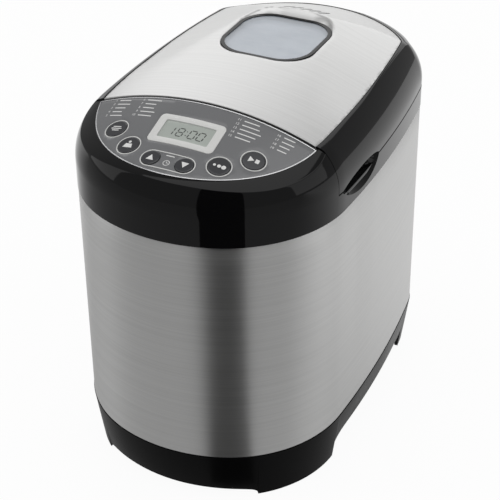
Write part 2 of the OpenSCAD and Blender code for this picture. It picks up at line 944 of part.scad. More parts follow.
module heater_element() {
    y0 = -heater_l;
    y1 = heater_l;
    straight = heater_w - heater_bend;
    inner_bend = 6;
    tail = 24;
    color([0.25, 0.24, 0.24])
    translate([0, oven_y, heater_z]) {
        for (s = [-1, 1]) {
            rod([s * heater_w, y0 + heater_bend, 0], [s * heater_w, y1 - heater_bend, 0], heater_r);
            rod([s * straight, y0, 0], [s * (heater_gap + inner_bend), y0, 0], heater_r);
            rod([s * heater_gap, y0 - inner_bend, 0], [s * heater_gap, y0 - tail, 0], heater_r);
        }
        rod([-straight, y1, 0], [straight, y1, 0], heater_r);
        for (s = [0, 1])
            mirror([s, 0, 0]) {
                bend([straight, y1 - heater_bend, 0], heater_bend, 0);
                bend([straight, y0 + heater_bend, 0], heater_bend, -90);
                bend([heater_gap + inner_bend, y0 - inner_bend, 0], inner_bend, 90);
            }
    }
}

// a quarter turn of the heating tube
module bend(centre, r, start) {
    translate(centre)
        rotate([0, 0, start])
            rotate_extrude(angle = 90)
                translate([r, 0]) circle(heater_r);
}

module heater_sleeves() {
    color(off_white)
    for (s = [-1, 1])
        translate([s * heater_gap, oven_y - oven_l + 1, heater_z])
            rotate([90, 0, 0])
                difference() {
                    cylinder(h = 6, r = sleeve_r);
                    cylinder(h = 30, r = heater_r, center = true);
                }
}

module heater_brackets() {
    t = 1.2;
    w = 10;
    color(dark_steel)
    for (s = [-1, 1], y = [-36, 36])
        translate([s * (oven_w + heater_w - heater_r - 2) / 2, oven_y + y, heater_z - heater_r])
            translate([-(oven_w - heater_w + heater_r + 2) / 2, -w / 2, -t])
                cube([oven_w - heater_w + heater_r + 2, w, t]);
}

module temperature_probe() {
    reach = 14;
    color(steel)
    translate([probe_x, oven_y - oven_l, probe_z])
        rotate([90, 0, 0]) {
            translate([0, 0, -reach]) cylinder(h = reach + 8, r = probe_r);
            translate([0, 0, oven_t]) cylinder(h = 3, r = 2 * probe_r);
        }
}

shield_y = -66;
module heat_shield() {
    half = 78;
    t = 1;
    fold = 8;
    top = deck_z - deck_t - 6;
    color(aluminium)
    difference() {
        union() {
            translate([-half, shield_y - t, chassis_z + chassis_t])
                cube([2 * half, t, top - chassis_z - chassis_t]);
            for (s = [-1, 1])
                translate([s * (half - t / 2), shield_y - fold / 2, (chassis_z + chassis_t + top) / 2])
                    cube([t, fold, top - chassis_z - chassis_t], center = true);
        }
        for (x = [-1, 1])
            translate([x * heater_gap, shield_y, heater_z])
                rotate([90, 0, 0]) cylinder(h = 10, r = sleeve_r + 1, center = true);
        translate([probe_x, shield_y, probe_z])
            rotate([90, 0, 0]) cylinder(h = 10, r = 3 * probe_r, center = true);
    }
}

socket_gap = 0.5;
module pan_socket() {
    wall = 4;
    color(aluminium)
    translate([0, oven_y, oven_z])
        difference() {
            cylinder(h = socket_h, r = ring_r + socket_gap + wall, $fn = fine);
            translate([0, 0, -1]) cylinder(h = 2 * socket_h, r = ring_r + socket_gap, $fn = fine);
            for (a = [0 : 90 : 270])
                rotate([0, 0, a + 45])
                    translate([ring_r, 0, socket_h]) cube([20, 14, socket_h], center = true);
        }
}

// ---- drive ----
bearing_neck_r = 7;
module main_bearing() {
    color([0.6, 0.5, 0.3])
    translate([0, oven_y, 0])
        difference() {
            union() {
                translate([0, 0, chassis_z + chassis_t])
                    cylinder(h = oven_z - oven_t - chassis_z - chassis_t, r = 16);
                translate([0, 0, chassis_z - 4]) cylinder(h = 10, r = 10);
                translate([0, 0, chassis_z]) cylinder(h = oven_z + 0.4 - chassis_z, r = bearing_neck_r);
            }
            cylinder(h = far, r = shaft_r + run_gap);
        }
}

module chassis_plate() {
    color(dark_steel)
    difference() {
        translate([0, 0, chassis_z])
            linear_extrude(chassis_t)
                hull() {
                    for (s = [-1, 1]) {
                        translate([s * (post_x + 6), post_places[1][1] + 8]) circle(10);
                        translate([s * (post_x + 6), post_places[0][1] - 2]) circle(10);
                        translate([s * (post_places[2][0] + 6), post_places[2][1]]) circle(8);
                    }
                }
        translate([0, oven_y, 0]) cylinder(h = far, r = 10);
        translate([0, motor_y, 0]) cylinder(h = far, r = motor_shaft_r + 6);
        for (s = [-1, 1])
            translate([s * 40, oven_y, chassis_z])
                cube([26, 60, 3 * chassis_t], center = true);
    }
}

coupling_z = oven_z + 1.2;
coupling_t = 2.6;
dog_h = 6.2;
dog_place = 11;
module drive_coupling() {
    color(aluminium)
    translate([0, oven_y, coupling_z])
        difference() {
            union() {
                cylinder(h = coupling_t, r = 15);
                for (a = [0, 180])
                    rotate([0, 0, a + 50])
                        translate([dog_place - 3, -2.5, coupling_t - 0.01])
                            cube([6, 5, dog_h]);
            }
            cylinder(h = 20, r = shaft_r, center = true);
        }
}

drive_low = 28;
module drive_shaft() {
    color(steel)
    translate([0, oven_y, drive_low])
        cylinder(h = coupling_z + coupling_t - drive_low - 0.2, r = shaft_r);
}

pulley_h = belt_w + 4;
module pulley(r, bore, flange) {
    difference() {
        union() {
            cylinder(h = pulley_h, r = r, $fn = fine);
            cylinder(h = 1.2, r = r + flange, $fn = fine);
            translate([0, 0, pulley_h - 1.2]) cylinder(h = 1.2, r = r + flange, $fn = fine);
        }
        cylinder(h = 4 * pulley_h, r = bore, center = true);
    }
}

module large_pulley() {
    spokes = 6;
    color([0.75, 0.74, 0.7])
    translate([0, oven_y, pulley_z])
        difference() {
            pulley(big_r, shaft_r, belt_t + belt_gap + 0.8);
            for (i = [0 : spokes - 1])
                rotate([0, 0, i * 360 / spokes])
                    translate([big_r * 0.58, 0, 0])
                        cylinder(h = 4 * pulley_h, r = big_r * 0.2, center = true);
        }
}

motor_low = pulley_z - 2.5;
motor_foot = chassis_z + chassis_t;
module motor_pulley() {
    color(dark_steel)
    translate([0, motor_y, pulley_z]) pulley(small_r, motor_shaft_r, belt_t + belt_gap + 0.8);
}

fan_z = motor_foot + motor_h + 4;
fan_h = 9;
module motor_shaft() {
    color(steel)
    translate([0, motor_y, motor_low])
        cylinder(h = fan_z + fan_h + 2 - motor_low, r = motor_shaft_r);
}

module cooling_fan() {
    color(satin_black)
    translate([0, motor_y, fan_z])
        difference() {
            union() {
                cylinder(h = fan_h, r = 9);
                for (i = [0 : fan_blades - 1])
                    rotate([0, 0, i * 360 / fan_blades])
                        translate([5, 0, fan_h / 2])
                            rotate([35, 0, 0])
                                translate([0, -5.5, -0.6]) cube([fan_r - 5, 11, 1.2]);
            }
            cylinder(h = 60, r = motor_shaft_r, center = true);
        }
}

module motor() {
    ribs = 16;
    color([0.5, 0.5, 0.52])
    translate([0, motor_y, motor_foot])
        difference() {
            union() {
                cylinder(h = motor_h, r = motor_r - 5, $fn = fine);
                translate([0, 0, 14]) cylinder(h = motor_h - 28, r = motor_r - 1, $fn = fine);
                translate([0, 0, 0]) cylinder(h = 3, r = motor_r);
                for (i = [0 : ribs - 1])
                    rotate([0, 0, i * 360 / ribs])
                        translate([motor_r - 3, 0, motor_h / 2])
                            cube([4, 3, motor_h - 30], center = true);
            }
            cylinder(h = far, r = motor_shaft_r + run_gap, center = true);
            translate([0, 0, -1]) cylinder(h = 4, r = motor_shaft_r + 5);
        }
}

module drive_belt() {
    clear = belt_gap;
    color([0.08, 0.08, 0.08])
    translate([0, 0, pulley_z + (pulley_h - belt_w) / 2])
        linear_extrude(belt_w)
            difference() {
                belt_loop(clear + belt_t);
                belt_loop(clear);
            }
}

module belt_loop(extra) {
    hull() {
        translate([0, oven_y]) circle(big_r + extra, $fn = fine);
        translate([0, motor_y]) circle(small_r + extra, $fn = fine);
    }
}

module power_board() {
    x = foot_x - 14;
    w = 56;
    h = 74;
    z = motor_foot;
    color([0.2, 0.32, 0.18])
        translate([x, motor_y - w / 2 + 14, z]) cube([1.6, w, h]);
    color([0.1, 0.1, 0.12])
        translate([x + 1.6, motor_y - 6, z + 12]) cube([16, 26, 22]);
    color([0.75, 0.7, 0.2])
        translate([x + 1.6, motor_y - 2, z + 44]) cube([14, 20, 14]);
}

// ---- hinge ----
module hinge_ear(x, w) {
    translate([x, hinge_y, hinge_z])
        rotate([0, 90, 0])
            cylinder(h = w, r = knuckle_r, center = true);
}

ear_gap = 0.3;
ear_x = knuckle_w / 2 + ear_gap + ear_w / 2;
module hinge_brackets() {
    block_w = 2 * (ear_x + ear_w / 2) + 3;
    color(satin_black)
    for (s = [-1, 1])
        difference() {
            union() {
                intersection() {
                    translate([s * hinge_x - block_w / 2, hinge_y - knuckle_r, deck_z])
                        cube([block_w, 2 * knuckle_r, far]);
                    outline_block(deck_z, collar_top + 0.1, shell_t + 0.05);
                }
                for (e = [-1, 1]) {
                    hinge_ear(s * hinge_x + e * ear_x, ear_w);
                    translate([s * hinge_x + e * ear_x - ear_w / 2, hinge_y - knuckle_r,
                               collar_top + 0.05])
                        cube([ear_w, 2 * knuckle_r, hinge_z - collar_top - 0.05]);
                }
            }
            hinge_bore(pin_r);
        }
}

module hinge_bore(r) {
    translate([0, hinge_y, hinge_z])
        rotate([0, 90, 0]) cylinder(h = far, r = r, center = true);
}

module hinge_pins() {
    l = 2 * (ear_x + ear_w / 2) + 1;
    color(steel)
    for (s = [-1, 1])
        translate([s * hinge_x, hinge_y, hinge_z])
            rotate([0, 90, 0]) cylinder(h = l, r = pin_r, center = true);
}

// ---- bread pan ----
module pan_volume(d, z0) {
    hull() {
        translate([0, oven_y, z0])
            linear_extrude(slice) pan_plan(pan_lean + d);
        translate([0, oven_y, pan_top - slice])
            linear_extrude(slice) pan_plan(d);
    }
}

module pan_plan(d) {
    rounded_square(pan_w - d, pan_l - d, pan_r - d, $fn = 32);
}

module bread_pan() {
    color(pan_grey)
    difference() {
        union() {
            pan_volume(0, pan_z);
            translate([0, oven_y, pan_top - rim_t]) linear_extrude(rim_t) pan_plan(-rim_w);
        }
        difference() {
            pan_volume(pan_t, pan_z);
            translate([0, 0, pan_z - 1]) cube([far, far, 2 * (pan_t + 1)], center = true);
        }
        translate([0, oven_y, 0]) cylinder(h = far / 4, r = bush_r);
    }
}

bush_r = 7;
bush_top = pan_z + 4.6;
bush_low = oven_z + 11;
module pan_bush() {
    color(aluminium)
    translate([0, oven_y, 0])
        difference() {
            union() {
                translate([0, 0, bush_low]) cylinder(h = pan_z - bush_low, r = 13);
                translate([0, 0, pan_z]) cylinder(h = bush_top - pan_z, r = bush_r);
            }
            cylinder(h = far, r = shaft_r + run_gap);
        }
}

module pan_foot_ring() {
    color(aluminium)
    translate([0, oven_y, oven_z])
        difference() {
            cylinder(h = pan_z - oven_z, r = ring_r, $fn = fine);
            cylinder(h = far, r = ring_r - ring_t, center = true, $fn = fine);
        }
}

lug_t = 2;
lug_in = pan_l + 2.6;
pivot_z = pan_top + wire_r;
module pan_lugs() {
    color(steel)
    for (s = [-1, 1])
        translate([0, oven_y + s * (lug_in + lug_t / 2), 0])
            rotate([90, 0, 0])
                linear_extrude(lug_t, center = true)
                    difference() {
                        union() {
                            translate([0, pivot_z]) circle(5);
                            translate([-5, pan_top]) square([10, wire_r]);
                        }
                        translate([0, pivot_z]) circle(wire_r + run_gap);
                        translate([-20, pan_top - 20]) square([40, 20]);
                    }
}

module pan_handle() {
    arm_y = lug_in - wire_r - 0.2;
    color(steel)
    translate([0, oven_y, pivot_z]) {
        for (s = [-1, 1]) {
            rod([0, s * arm_y, 0], [handle_l, s * arm_y, 0], wire_r);
            rod([0, s * arm_y, 0], [0, s * (lug_in + lug_t + 0.6), 0], wire_r);
            translate([0, s * arm_y, 0]) sphere(wire_r);
            translate([handle_l, s * arm_y, 0]) sphere(wire_r);
        }
        rod([handle_l, -arm_y, 0], [handle_l, arm_y, 0], wire_r);
    }
}

paddle_z = bush_top + 0.6;
wing_z = coupling_z + coupling_t + 0.4;
module paddle_shaft() {
    color(steel)
    translate([0, oven_y, wing_z])
        cylinder(h = paddle_z + blade_h + 2 - wing_z, r = shaft_r);
}

module wing_coupling() {
    h = 5.4;
    color(steel)
    translate([0, oven_y, wing_z])
        difference() {
            union() {
                cylinder(h = h, r = 6.5);
                translate([-14, -2.4, 0]) cube([28, 4.8, h]);
            }
            cylinder(h = 30, r = shaft_r, center = true);
        }
}

module kneading_paddle() {
    tip_h = blade_h * 0.62;
    color(pan_grey)
    translate([0, oven_y, paddle_z])
        difference() {
            union() {
                cylinder(h = blade_h + 2, r = shaft_r + 4);
                hull() {
                    translate([shaft_r, 0, 0]) cylinder(h = blade_h, r = blade_t * 0.7, $fn = 32);
                    translate([blade_l * 0.55, 3, 0]) cylinder(h = blade_h, r = blade_t / 2, $fn = 32);
                }
                hull() {
                    translate([blade_l * 0.55, 3, 0]) cylinder(h = blade_h, r = blade_t / 2, $fn = 32);
                    translate([blade_l, 0, 0]) cylinder(h = tip_h, r = blade_t / 2 - 0.3, $fn = 32);
                }
            }
            cylinder(h = far, r = shaft_r, center = true);
        }
}

// ---- lid ----
lid_front = split_y + split_gap;
pocket_y = hinge_y - knuckle_r - 0.3;

module hinge_pocket(d) {
    translate([-pocket_w - d, pocket_y - d, lid_z - 10])
        cube([2 * (pocket_w + d), far, far]);
}

module lid_frame() {
    ledge_t = 2.5;
    ledge_w = 4;
    color(gloss_black)
    difference() {
        union() {
            difference() {
                intersection() {
                    dome(0, lid_z);
                    below_lid(-0.5);
                    behind(lid_front);
                }
                hinge_pocket(0);
                difference() {
                    intersection() {
                        dome(shell_t, lid_z - 1);
                        below_lid(cover_t + ledge_t);
                        behind(lid_front + shell_t);
                    }
                    hinge_pocket(shell_t);
                }
                // seat of the steel cover, and the opening inside its ledge
                difference() {
                    linear_extrude(far) lid_plan(-0.15);
                    below_lid(cover_t);
                }
                translate([0, 0, liner_z + 8]) linear_extrude(far) lid_plan(ledge_w);
            }
            // ledge that the liner is fixed to
            intersection() {
                outline_wall(liner_z + liner_t, liner_z + liner_t + 2, shell_t - 1, shell_t + 5);
                ahead_of(pocket_y);
                behind(lid_front);
            }
            for (s = [-1, 1]) {
                hinge_ear(s * hinge_x, knuckle_w);
                translate([s * hinge_x - knuckle_w / 2, pocket_y - 1, lid_z + 0.2])
                    cube([knuckle_w, hinge_y - pocket_y + 1, 2 * (hinge_z - lid_z - 0.2)]);
            }
        }
        hinge_bore(pin_r + run_gap);
    }
}

// plan of the steel cover, from the front edge of the lid to its rear edge
module lid_plan(d) {
    difference() {
        outline(frame_w + d);
        translate([-far, lid_front + max(0, d) - far - eps]) square([2 * far, far]);
    }
}

module window_block(d, z0, z1) {
    rounded_block(window_w + d, window_w + d, window_r + d, z0, z1, window_y);
}

// the hollow that the steel cover is drawn down into, round the window
module drawn_hollow(d) {
    low = window_z - 0.6;
    rise = 9;
    slope = 1.05;
    hull() {
        window_block(0.2 + d, low, low + eps);
        window_block(0.2 + d + rise, low + slope * rise, low + slope * rise + eps);
    }
}

module lid_cover() {
    slot_y = brow_y + 15;
    color(steel)
    difference() {
        intersection() {
            linear_extrude(far) lid_plan(0);
            below_lid(0);
        }
        drawn_hollow(0);
        difference() {
            below_lid(cover_t);
            translate([0, 0, -cover_t]) drawn_hollow(cover_t / 2);
        }
        window_block(0.2, 0, far);
        for (i = [0 : steam_count - 1])
            translate([(i - (steam_count - 1) / 2) * steam_pitch, slot_y, 0])
                rotate([0, 0, -14])
                    linear_extrude(far) rounded_square(steam_w / 2, steam_l / 2, steam_w / 2 - 0.01);
    }
}

ring_low = window_z - window_ring_h;
module window_ring() {
    color(gloss_black)
    difference() {
        window_block(0, ring_low, window_z);
        window_block(-window_ring_w, 0, far);
    }
}

module window_glass() {
    color([0.75, 0.8, 0.85, 0.35])
    window_block(-window_ring_w, ring_low, ring_low + pane_t);
}

well_low = liner_z + liner_t + pane_t;
module window_well() {
    flange = 2;
    flange_t = 1.2;
    color(aluminium)
    difference() {
        union() {
            window_block(-window_ring_w - 1, well_low, ring_low);
            window_block(flange - 1, ring_low - flange_t, ring_low);
            window_block(flange + 1, well_low, well_low + flange_t);
        }
        window_block(-window_ring_w - 2, 0, far);
    }
}

module inner_glass() {
    color([0.75, 0.8, 0.85, 0.35])
    window_block(2, liner_z + liner_t, well_low);
}

module lid_liner() {
    color(aluminium)
    difference() {
        translate([0, 0, liner_z])
            linear_extrude(liner_t)
                difference() {
                    outline(shell_t + 0.3);
                    translate([-far, lid_front + shell_t + 0.2 - far]) square([2 * far, far]);
                    translate([-far, pocket_y - shell_t - 0.2]) square([2 * far, far]);
                }
        window_block(-window_ring_w, 0, far);
    }
}

module lid_seal() {
    low = deck_z + oven_t;
    color([0.55, 0.12, 0.08])
    difference() {
        oven_hole(flange_w - 1.5, low, liner_z);
        oven_hole(1.5, low - 1, liner_z + 1);
    }
}

base_skirt();
bottom_plate();
rubber_feet();
bottom_screws();
cord_gland();
steel_wrap();
wrap_seam();
top_housing();
control_panel();
panel_trim();
button_bezels();
display_frame();
display_glass();
switch_carrier();
control_board();
button_menu();
button_weight();
button_colour();
button_start();
button_time_up();
button_time_down();
oven_chamber();
heater_element();
heater_sleeves();
heater_brackets();
temperature_probe();
heat_shield();
pan_socket();
hinge_brackets();
hinge_pins();
chassis_plate();
main_bearing();
motor();
power_board();
drive_belt();
drive_shaft();
large_pulley();
drive_coupling();
motor_shaft();
motor_pulley();
cooling_fan();
bread_pan();
pan_foot_ring();
pan_bush();
pan_lugs();
pan_handle();
paddle_shaft();
wing_coupling();
kneading_paddle();
lid_frame();
lid_cover();
window_ring();
window_glass();
window_well();
inner_glass();
lid_liner();
lid_seal();
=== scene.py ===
"""Looks of the bread machine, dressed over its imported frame. Metres, +Z up, the control panel faces -Y."""

import json
import logging
import math
from dataclasses import dataclass, field
from enum import Enum
from typing import Callable, Iterable, Optional, Sequence, Union

import bmesh
import bpy
import numpy as np
from mathutils import Matrix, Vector
from mathutils.geometry import delaunay_2d_cdt


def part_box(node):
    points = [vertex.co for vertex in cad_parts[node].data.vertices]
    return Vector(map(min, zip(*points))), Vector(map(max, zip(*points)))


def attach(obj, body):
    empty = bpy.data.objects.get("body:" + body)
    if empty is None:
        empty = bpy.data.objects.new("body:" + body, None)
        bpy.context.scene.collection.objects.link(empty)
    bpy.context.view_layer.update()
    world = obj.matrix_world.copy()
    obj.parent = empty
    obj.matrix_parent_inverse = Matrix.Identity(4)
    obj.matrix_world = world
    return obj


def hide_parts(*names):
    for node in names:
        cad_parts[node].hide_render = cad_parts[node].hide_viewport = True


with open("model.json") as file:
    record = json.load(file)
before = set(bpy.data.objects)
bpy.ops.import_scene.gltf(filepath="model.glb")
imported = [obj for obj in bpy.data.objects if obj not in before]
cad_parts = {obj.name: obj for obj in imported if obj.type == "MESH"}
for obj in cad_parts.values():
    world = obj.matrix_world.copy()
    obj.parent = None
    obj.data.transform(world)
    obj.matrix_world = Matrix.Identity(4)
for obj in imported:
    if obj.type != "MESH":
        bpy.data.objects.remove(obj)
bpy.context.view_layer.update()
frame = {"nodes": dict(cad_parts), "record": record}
log = logging.getLogger("bread_machine")

Number = Union[float, "Value"]
Colour = tuple[float, float, float]
Heights = Callable[[np.ndarray, np.ndarray], np.ndarray]
Insets = Callable[[np.ndarray], np.ndarray]
Lay = Callable[[np.ndarray, float], np.ndarray]

# Share of the shoulder, from its foot, at which the rounded edge under the top surface starts.
NEAR_RIM = 0.975


# ---------------------------------------------------------------- shader writing


class Value:
    """A number that changes over a surface, written with ordinary arithmetic."""

    def __init__(self, shader: "Shader", socket: bpy.types.NodeSocket) -> None:
        """Wraps one output socket of a shader."""
        self.shader = shader
        self.socket = socket

    def maths(self, operation: str, *others: Number) -> "Value":
        """Adds one Math node whose first input is this value.

        Args:
            operation: The Math node's operation.
            others: The other inputs, in order.

        Returns:
            The result as a new value.
        """
        inputs = dict(enumerate((self, *others)))
        return self.shader.node("ShaderNodeMath", {"operation": operation}, inputs)

    def reflected(self, operation: str, other: float) -> "Value":
        """Adds one Math node whose second input is this value."""
        return self.shader.node("ShaderNodeMath", {"operation": operation}, {0: other, 1: self})

    def __add__(self, other: Number) -> "Value":
        """This value plus another."""
        return self.maths("ADD", other)

    def __radd__(self, other: float) -> "Value":
        """A number plus this value."""
        return self.maths("ADD", other)

    def __sub__(self, other: Number) -> "Value":
        """This value less another."""
        return self.maths("SUBTRACT", other)

    def __rsub__(self, other: float) -> "Value":
        """A number less this value."""
        return self.reflected("SUBTRACT", other)

    def __mul__(self, other: Number) -> "Value":
        """This value times another."""
        return self.maths("MULTIPLY", other)

    def __rmul__(self, other: float) -> "Value":
        """A number times this value."""
        return self.maths("MULTIPLY", other)

    def step(self, low: float, high: float) -> "Value":
        """A smooth step from 0 at low to 1 at high."""
        inputs = {"Value": self, "From Min": low, "From Max": high}
        return self.shader.node("ShaderNodeMapRange", {"interpolation_type": "SMOOTHSTEP"}, inputs)


class Shader:
    """One material's node tree, with few ways to add to it."""

    def __init__(self, name: str) -> None:
        """Starts an empty material of that name."""
        self.material = bpy.data.materials.new(name)
        self.material.use_nodes = True
        self.tree = self.material.node_tree
        self.tree.nodes.clear()

    @classmethod
    def of_tree(cls, tree: bpy.types.NodeTree) -> "Shader":
        """Writes into a node tree that already exists, such as the world's."""
        made = cls.__new__(cls)
        made.tree = tree
        tree.nodes.clear()
        return made

    def node(
        self,
        kind: str,
        settings: Optional[dict[str, object]] = None,
        inputs: Optional[dict[Union[str, int], object]] = None,
        output: Union[str, int] = 0,
    ) -> Value:
        """Adds a node.

        Args:
            kind: The node's type.
            settings: Its properties, set first. A ramp takes its stops as "stops".
            inputs: Values or links of its sockets, by name or place.
            output: The output to return, by name or place.

        Returns:
            That output as a value.
        """
        made = self.tree.nodes.new(kind)
        for key, value in (settings or {}).items():
            if key == "stops":
                self._stops(made, value)
            else:
                setattr(made, key, value)
        for key, value in (inputs or {}).items():
            self.feed(made.inputs[key], value)
        return Value(self, made.outputs[output])

    @staticmethod
    def _stops(made: bpy.types.Node, stops: Sequence[tuple[float, Colour]]) -> None:
        """Sets the stops of a colour ramp."""
        elements = made.color_ramp.elements
        while len(elements) < len(stops):
            elements.new(0.5)
        for element, (place, colour) in zip(elements, stops):
            element.position = place
            element.color = (*colour, 1.0)

    def feed(self, socket: bpy.types.NodeSocket, value: object) -> None:
        """Links a value to a socket, or sets a plain number or colour on it."""
        if isinstance(value, Value):
            self.tree.links.new(value.socket, socket)
        elif isinstance(value, tuple) and len(value) == 3 and socket.type == "RGBA":
            socket.default_value = (*value, 1.0)
        else:
            socket.default_value = value

    def place(self, stretch: Sequence[float] = (1.0, 1.0, 1.0)) -> Value:
        """The place on the object in metres, multiplied by a stretch along each axis."""
        where = self.node("ShaderNodeTexCoord", output="Object")
        settings = {"operation": "MULTIPLY"}
        return self.node("ShaderNodeVectorMath", settings, {0: where, 1: tuple(stretch)})

    def noise(self, stretch: Sequence[float], detail: float = 2.0, roughness: float = 0.5) -> Value:
        """Noise of mean 0.5 over the object.

        Args:
            stretch: Cells per metre along each axis.
            detail: Number of octaves.
            roughness: Share of the finer octaves.

        Returns:
            The noise as a value.
        """
        inputs = {"Vector": self.place(stretch), "Scale": 1.0, "Detail": detail, "Roughness": roughness}
        return self.node("ShaderNodeTexNoise", {}, inputs)

    def cells(self, per_metre: float) -> Value:
        """Distance to the nearest of many scattered points, in cells."""
        inputs = {"Vector": self.place((per_metre,) * 3), "Scale": 1.0}
        return self.node("ShaderNodeTexVoronoi", {}, inputs, "Distance")

    def blend(self, share: Value, low: Colour, high: Colour) -> Value:
        """A colour between two, by a share from 0 to 1."""
        made = self.tree.nodes.new("ShaderNodeMix")
        made.data_type = "RGBA"
        self.feed(made.inputs["Factor"], share)
        colours = [s for s in made.inputs if s.type == "RGBA"]
        self.feed(colours[0], low)
        self.feed(colours[1], high)
        return Value(self, next(s for s in made.outputs if s.type == "RGBA"))

    def bump(self, height: Value, depth: float, strength: float = 1.0) -> Value:
        """A normal bent by a height from 0 to 1 that stands for a depth in metres."""
        inputs = {"Height": height, "Distance": depth, "Strength": strength}
        return self.node("ShaderNodeBump", {}, inputs, "Normal")

    def surface(self, **inputs: object) -> bpy.types.Material:
        """Ends the tree in a Principled surface, its sockets named with spaces as underscores."""
        named = {key.replace("_", " "): value for key, value in inputs.items()}
        shaded = self.node("ShaderNodeBsdfPrincipled", {}, named)
        self.node_out(shaded)
        return self.material

    def node_out(self, shaded: Value) -> None:
        """Links a shader to the material's output."""
        out = self.tree.nodes.new("ShaderNodeOutputMaterial")
        self.tree.links.new(shaded.socket, out.inputs["Surface"])


class Grain(Enum):
    """Which way a brushed sheet is brushed, as cells per metre along each axis."""

    ROUND_THE_BODY = (9.0, 9.0, 1500.0)
    ACROSS = (9.0, 1500.0, 60.0)


@dataclass(frozen=True)
class Finish:
    """A finish that makes its own material, once."""

    name: str
    slot: str

    def paint(self, shader: Shader) -> bpy.types.Material:
        """Builds the material's nodes."""
        raise NotImplementedError

    def material(self) -> bpy.types.Material:
        """The material of this finish, made at its first use."""
        title = f"{self.name}_finish"
        return bpy.data.materials.get(title) or self.paint(Shader(title))


@dataclass(frozen=True)
class Brushed(Finish):
    """Brushed sheet metal: long hair lines of varying shine and depth."""

    grain: Grain = Grain.ROUND_THE_BODY
    colour: Colour = (0.60, 0.60, 0.595)
    roughness: float = 0.42
    spread: float = 0.0
    turn: float = 0.0

    def paint(self, shader: Shader) -> bpy.types.Material:
        """Lays fine and coarse streaks over the metal."""
        fine = shader.noise(self.grain.value, 2.0, 0.6)
        coarse = shader.noise(tuple(0.22 * s for s in self.grain.value), 2.0, 0.5)
        cloud = shader.noise((11.0, 11.0, 11.0), 2.0)
        streak = 0.65 * fine + 0.35 * coarse
        dark = tuple(0.93 * c for c in self.colour)
        light = tuple(min(1.0, 1.06 * c) for c in self.colour)
        return shader.surface(
            Base_Color=shader.blend((streak * 0.85 + cloud * 0.15).step(0.30, 0.70), dark, light),
            Metallic=1.0,
            Roughness=self.roughness + (streak - 0.5) * 0.16 + (cloud - 0.5) * 0.04,
            Anisotropic=self.spread,
            Anisotropic_Rotation=self.turn,
            Normal=shader.bump(streak, 0.00002, 0.15),
        )


@dataclass(frozen=True)
class Gloss(Finish):
    """Polished moulded plastic with a faint ripple and hair scratches."""

    colour: Colour = (0.002, 0.002, 0.0023)
    roughness: float = 0.05
    ior: float = 1.33

    def paint(self, shader: Shader) -> bpy.types.Material:
        """Adds the ripple, fine scuffs and a little dust to a glossy colour."""
        ripple = shader.noise((38.0, 38.0, 38.0), 1.0)
        scuff = shader.noise((300.0, 60.0, 900.0), 4.0, 0.7).step(0.60, 0.78)
        dust = shader.noise((2200.0, 2200.0, 2200.0), 1.0).step(0.72, 0.8)
        light = tuple(c + 0.006 for c in self.colour)
        return shader.surface(
            Base_Color=shader.blend(dust * 0.5 + scuff * 0.1, self.colour, light),
            Roughness=self.roughness + scuff * 0.04 + dust * 0.10,
            IOR=self.ior,
            Normal=shader.bump(ripple, 0.0002, 0.1),
        )


@dataclass(frozen=True)
class Moulded(Finish):
    """Satin plastic or rubber with a fine spark-eroded grain."""

    colour: Colour = (0.0015, 0.0015, 0.0016)
    roughness: float = 0.32
    grain: float = 1500.0
    depth: float = 0.00002
    ior: float = 1.13

    def paint(self, shader: Shader) -> bpy.types.Material:
        """Lays a pebbled grain and slow clouds over a plain colour."""
        pebble = shader.cells(self.grain)
        cloud = shader.noise((16.0, 16.0, 16.0), 3.0)
        light = tuple(min(1.0, 1.2 * c + 0.001) for c in self.colour)
        return shader.surface(
            Base_Color=shader.blend(0.35 * pebble + 0.5 * cloud, self.colour, light),
            Roughness=self.roughness + (cloud - 0.5) * 0.14 + (pebble - 0.5) * 0.10,
            IOR=self.ior,
            Normal=shader.bump(pebble, self.depth, 0.5),
        )


@dataclass(frozen=True)
class Film(Finish):
    """The printed film of the control panel: even grey under a clear gloss coat."""

    colour: Colour = (0.135, 0.137, 0.142)

    def paint(self, shader: Shader) -> bpy.types.Material:
        """Adds a faint metallic fleck and the coat."""
        fleck = shader.noise((2600.0, 2600.0, 2600.0), 2.0).step(0.45, 0.75)
        cloud = shader.noise((24.0, 24.0, 24.0), 2.0)
        light = tuple(1.28 * c for c in self.colour)
        return shader.surface(
            Base_Color=shader.blend(0.6 * fleck + 0.4 * cloud, self.colour, light),
            Roughness=0.30 + cloud * 0.08,
            Coat_Weight=0.55,
            Coat_Roughness=0.12,
            Normal=shader.bump(cloud, 0.0001, 0.15),
        )


@dataclass(frozen=True)
class Print(Finish):
    """Screen-printed ink, slightly uneven at its edges."""

    colour: Colour = (0.82, 0.82, 0.81)

    def paint(self, shader: Shader) -> bpy.types.Material:
        """Breaks up the ink a little."""
        grain = shader.noise((3500.0, 3500.0, 3500.0), 2.0)
        thin = tuple(0.86 * c for c in self.colour)
        return shader.surface(
            Base_Color=shader.blend(grain.step(0.3, 0.6), thin, self.colour),
            Roughness=0.42 + grain * 0.12,
            Normal=shader.bump(grain, 0.00002, 0.3),
        )


@dataclass(frozen=True)
class Cast(Finish):
    """Bare metal: plain, cast, sheet or turned, with a light mottling."""

    colour: Colour = (0.66, 0.66, 0.67)
    roughness: float = 0.30
    mottle: float = 420.0
    depth: float = 0.00005

    def paint(self, shader: Shader) -> bpy.types.Material:
        """Adds mottling and smudges to the metal."""
        mottle = shader.noise((self.mottle,) * 3, 3.0)
        smudge = shader.noise((18.0, 18.0, 18.0), 3.0)
        dark = tuple(0.80 * c for c in self.colour)
        return shader.surface(
            Base_Color=shader.blend(0.6 * mottle + 0.4 * smudge, dark, self.colour),
            Metallic=1.0,
            Roughness=self.roughness + (smudge - 0.5) * 0.16 + (mottle - 0.5) * 0.08,
            Normal=shader.bump(mottle, self.depth, 0.4),
        )


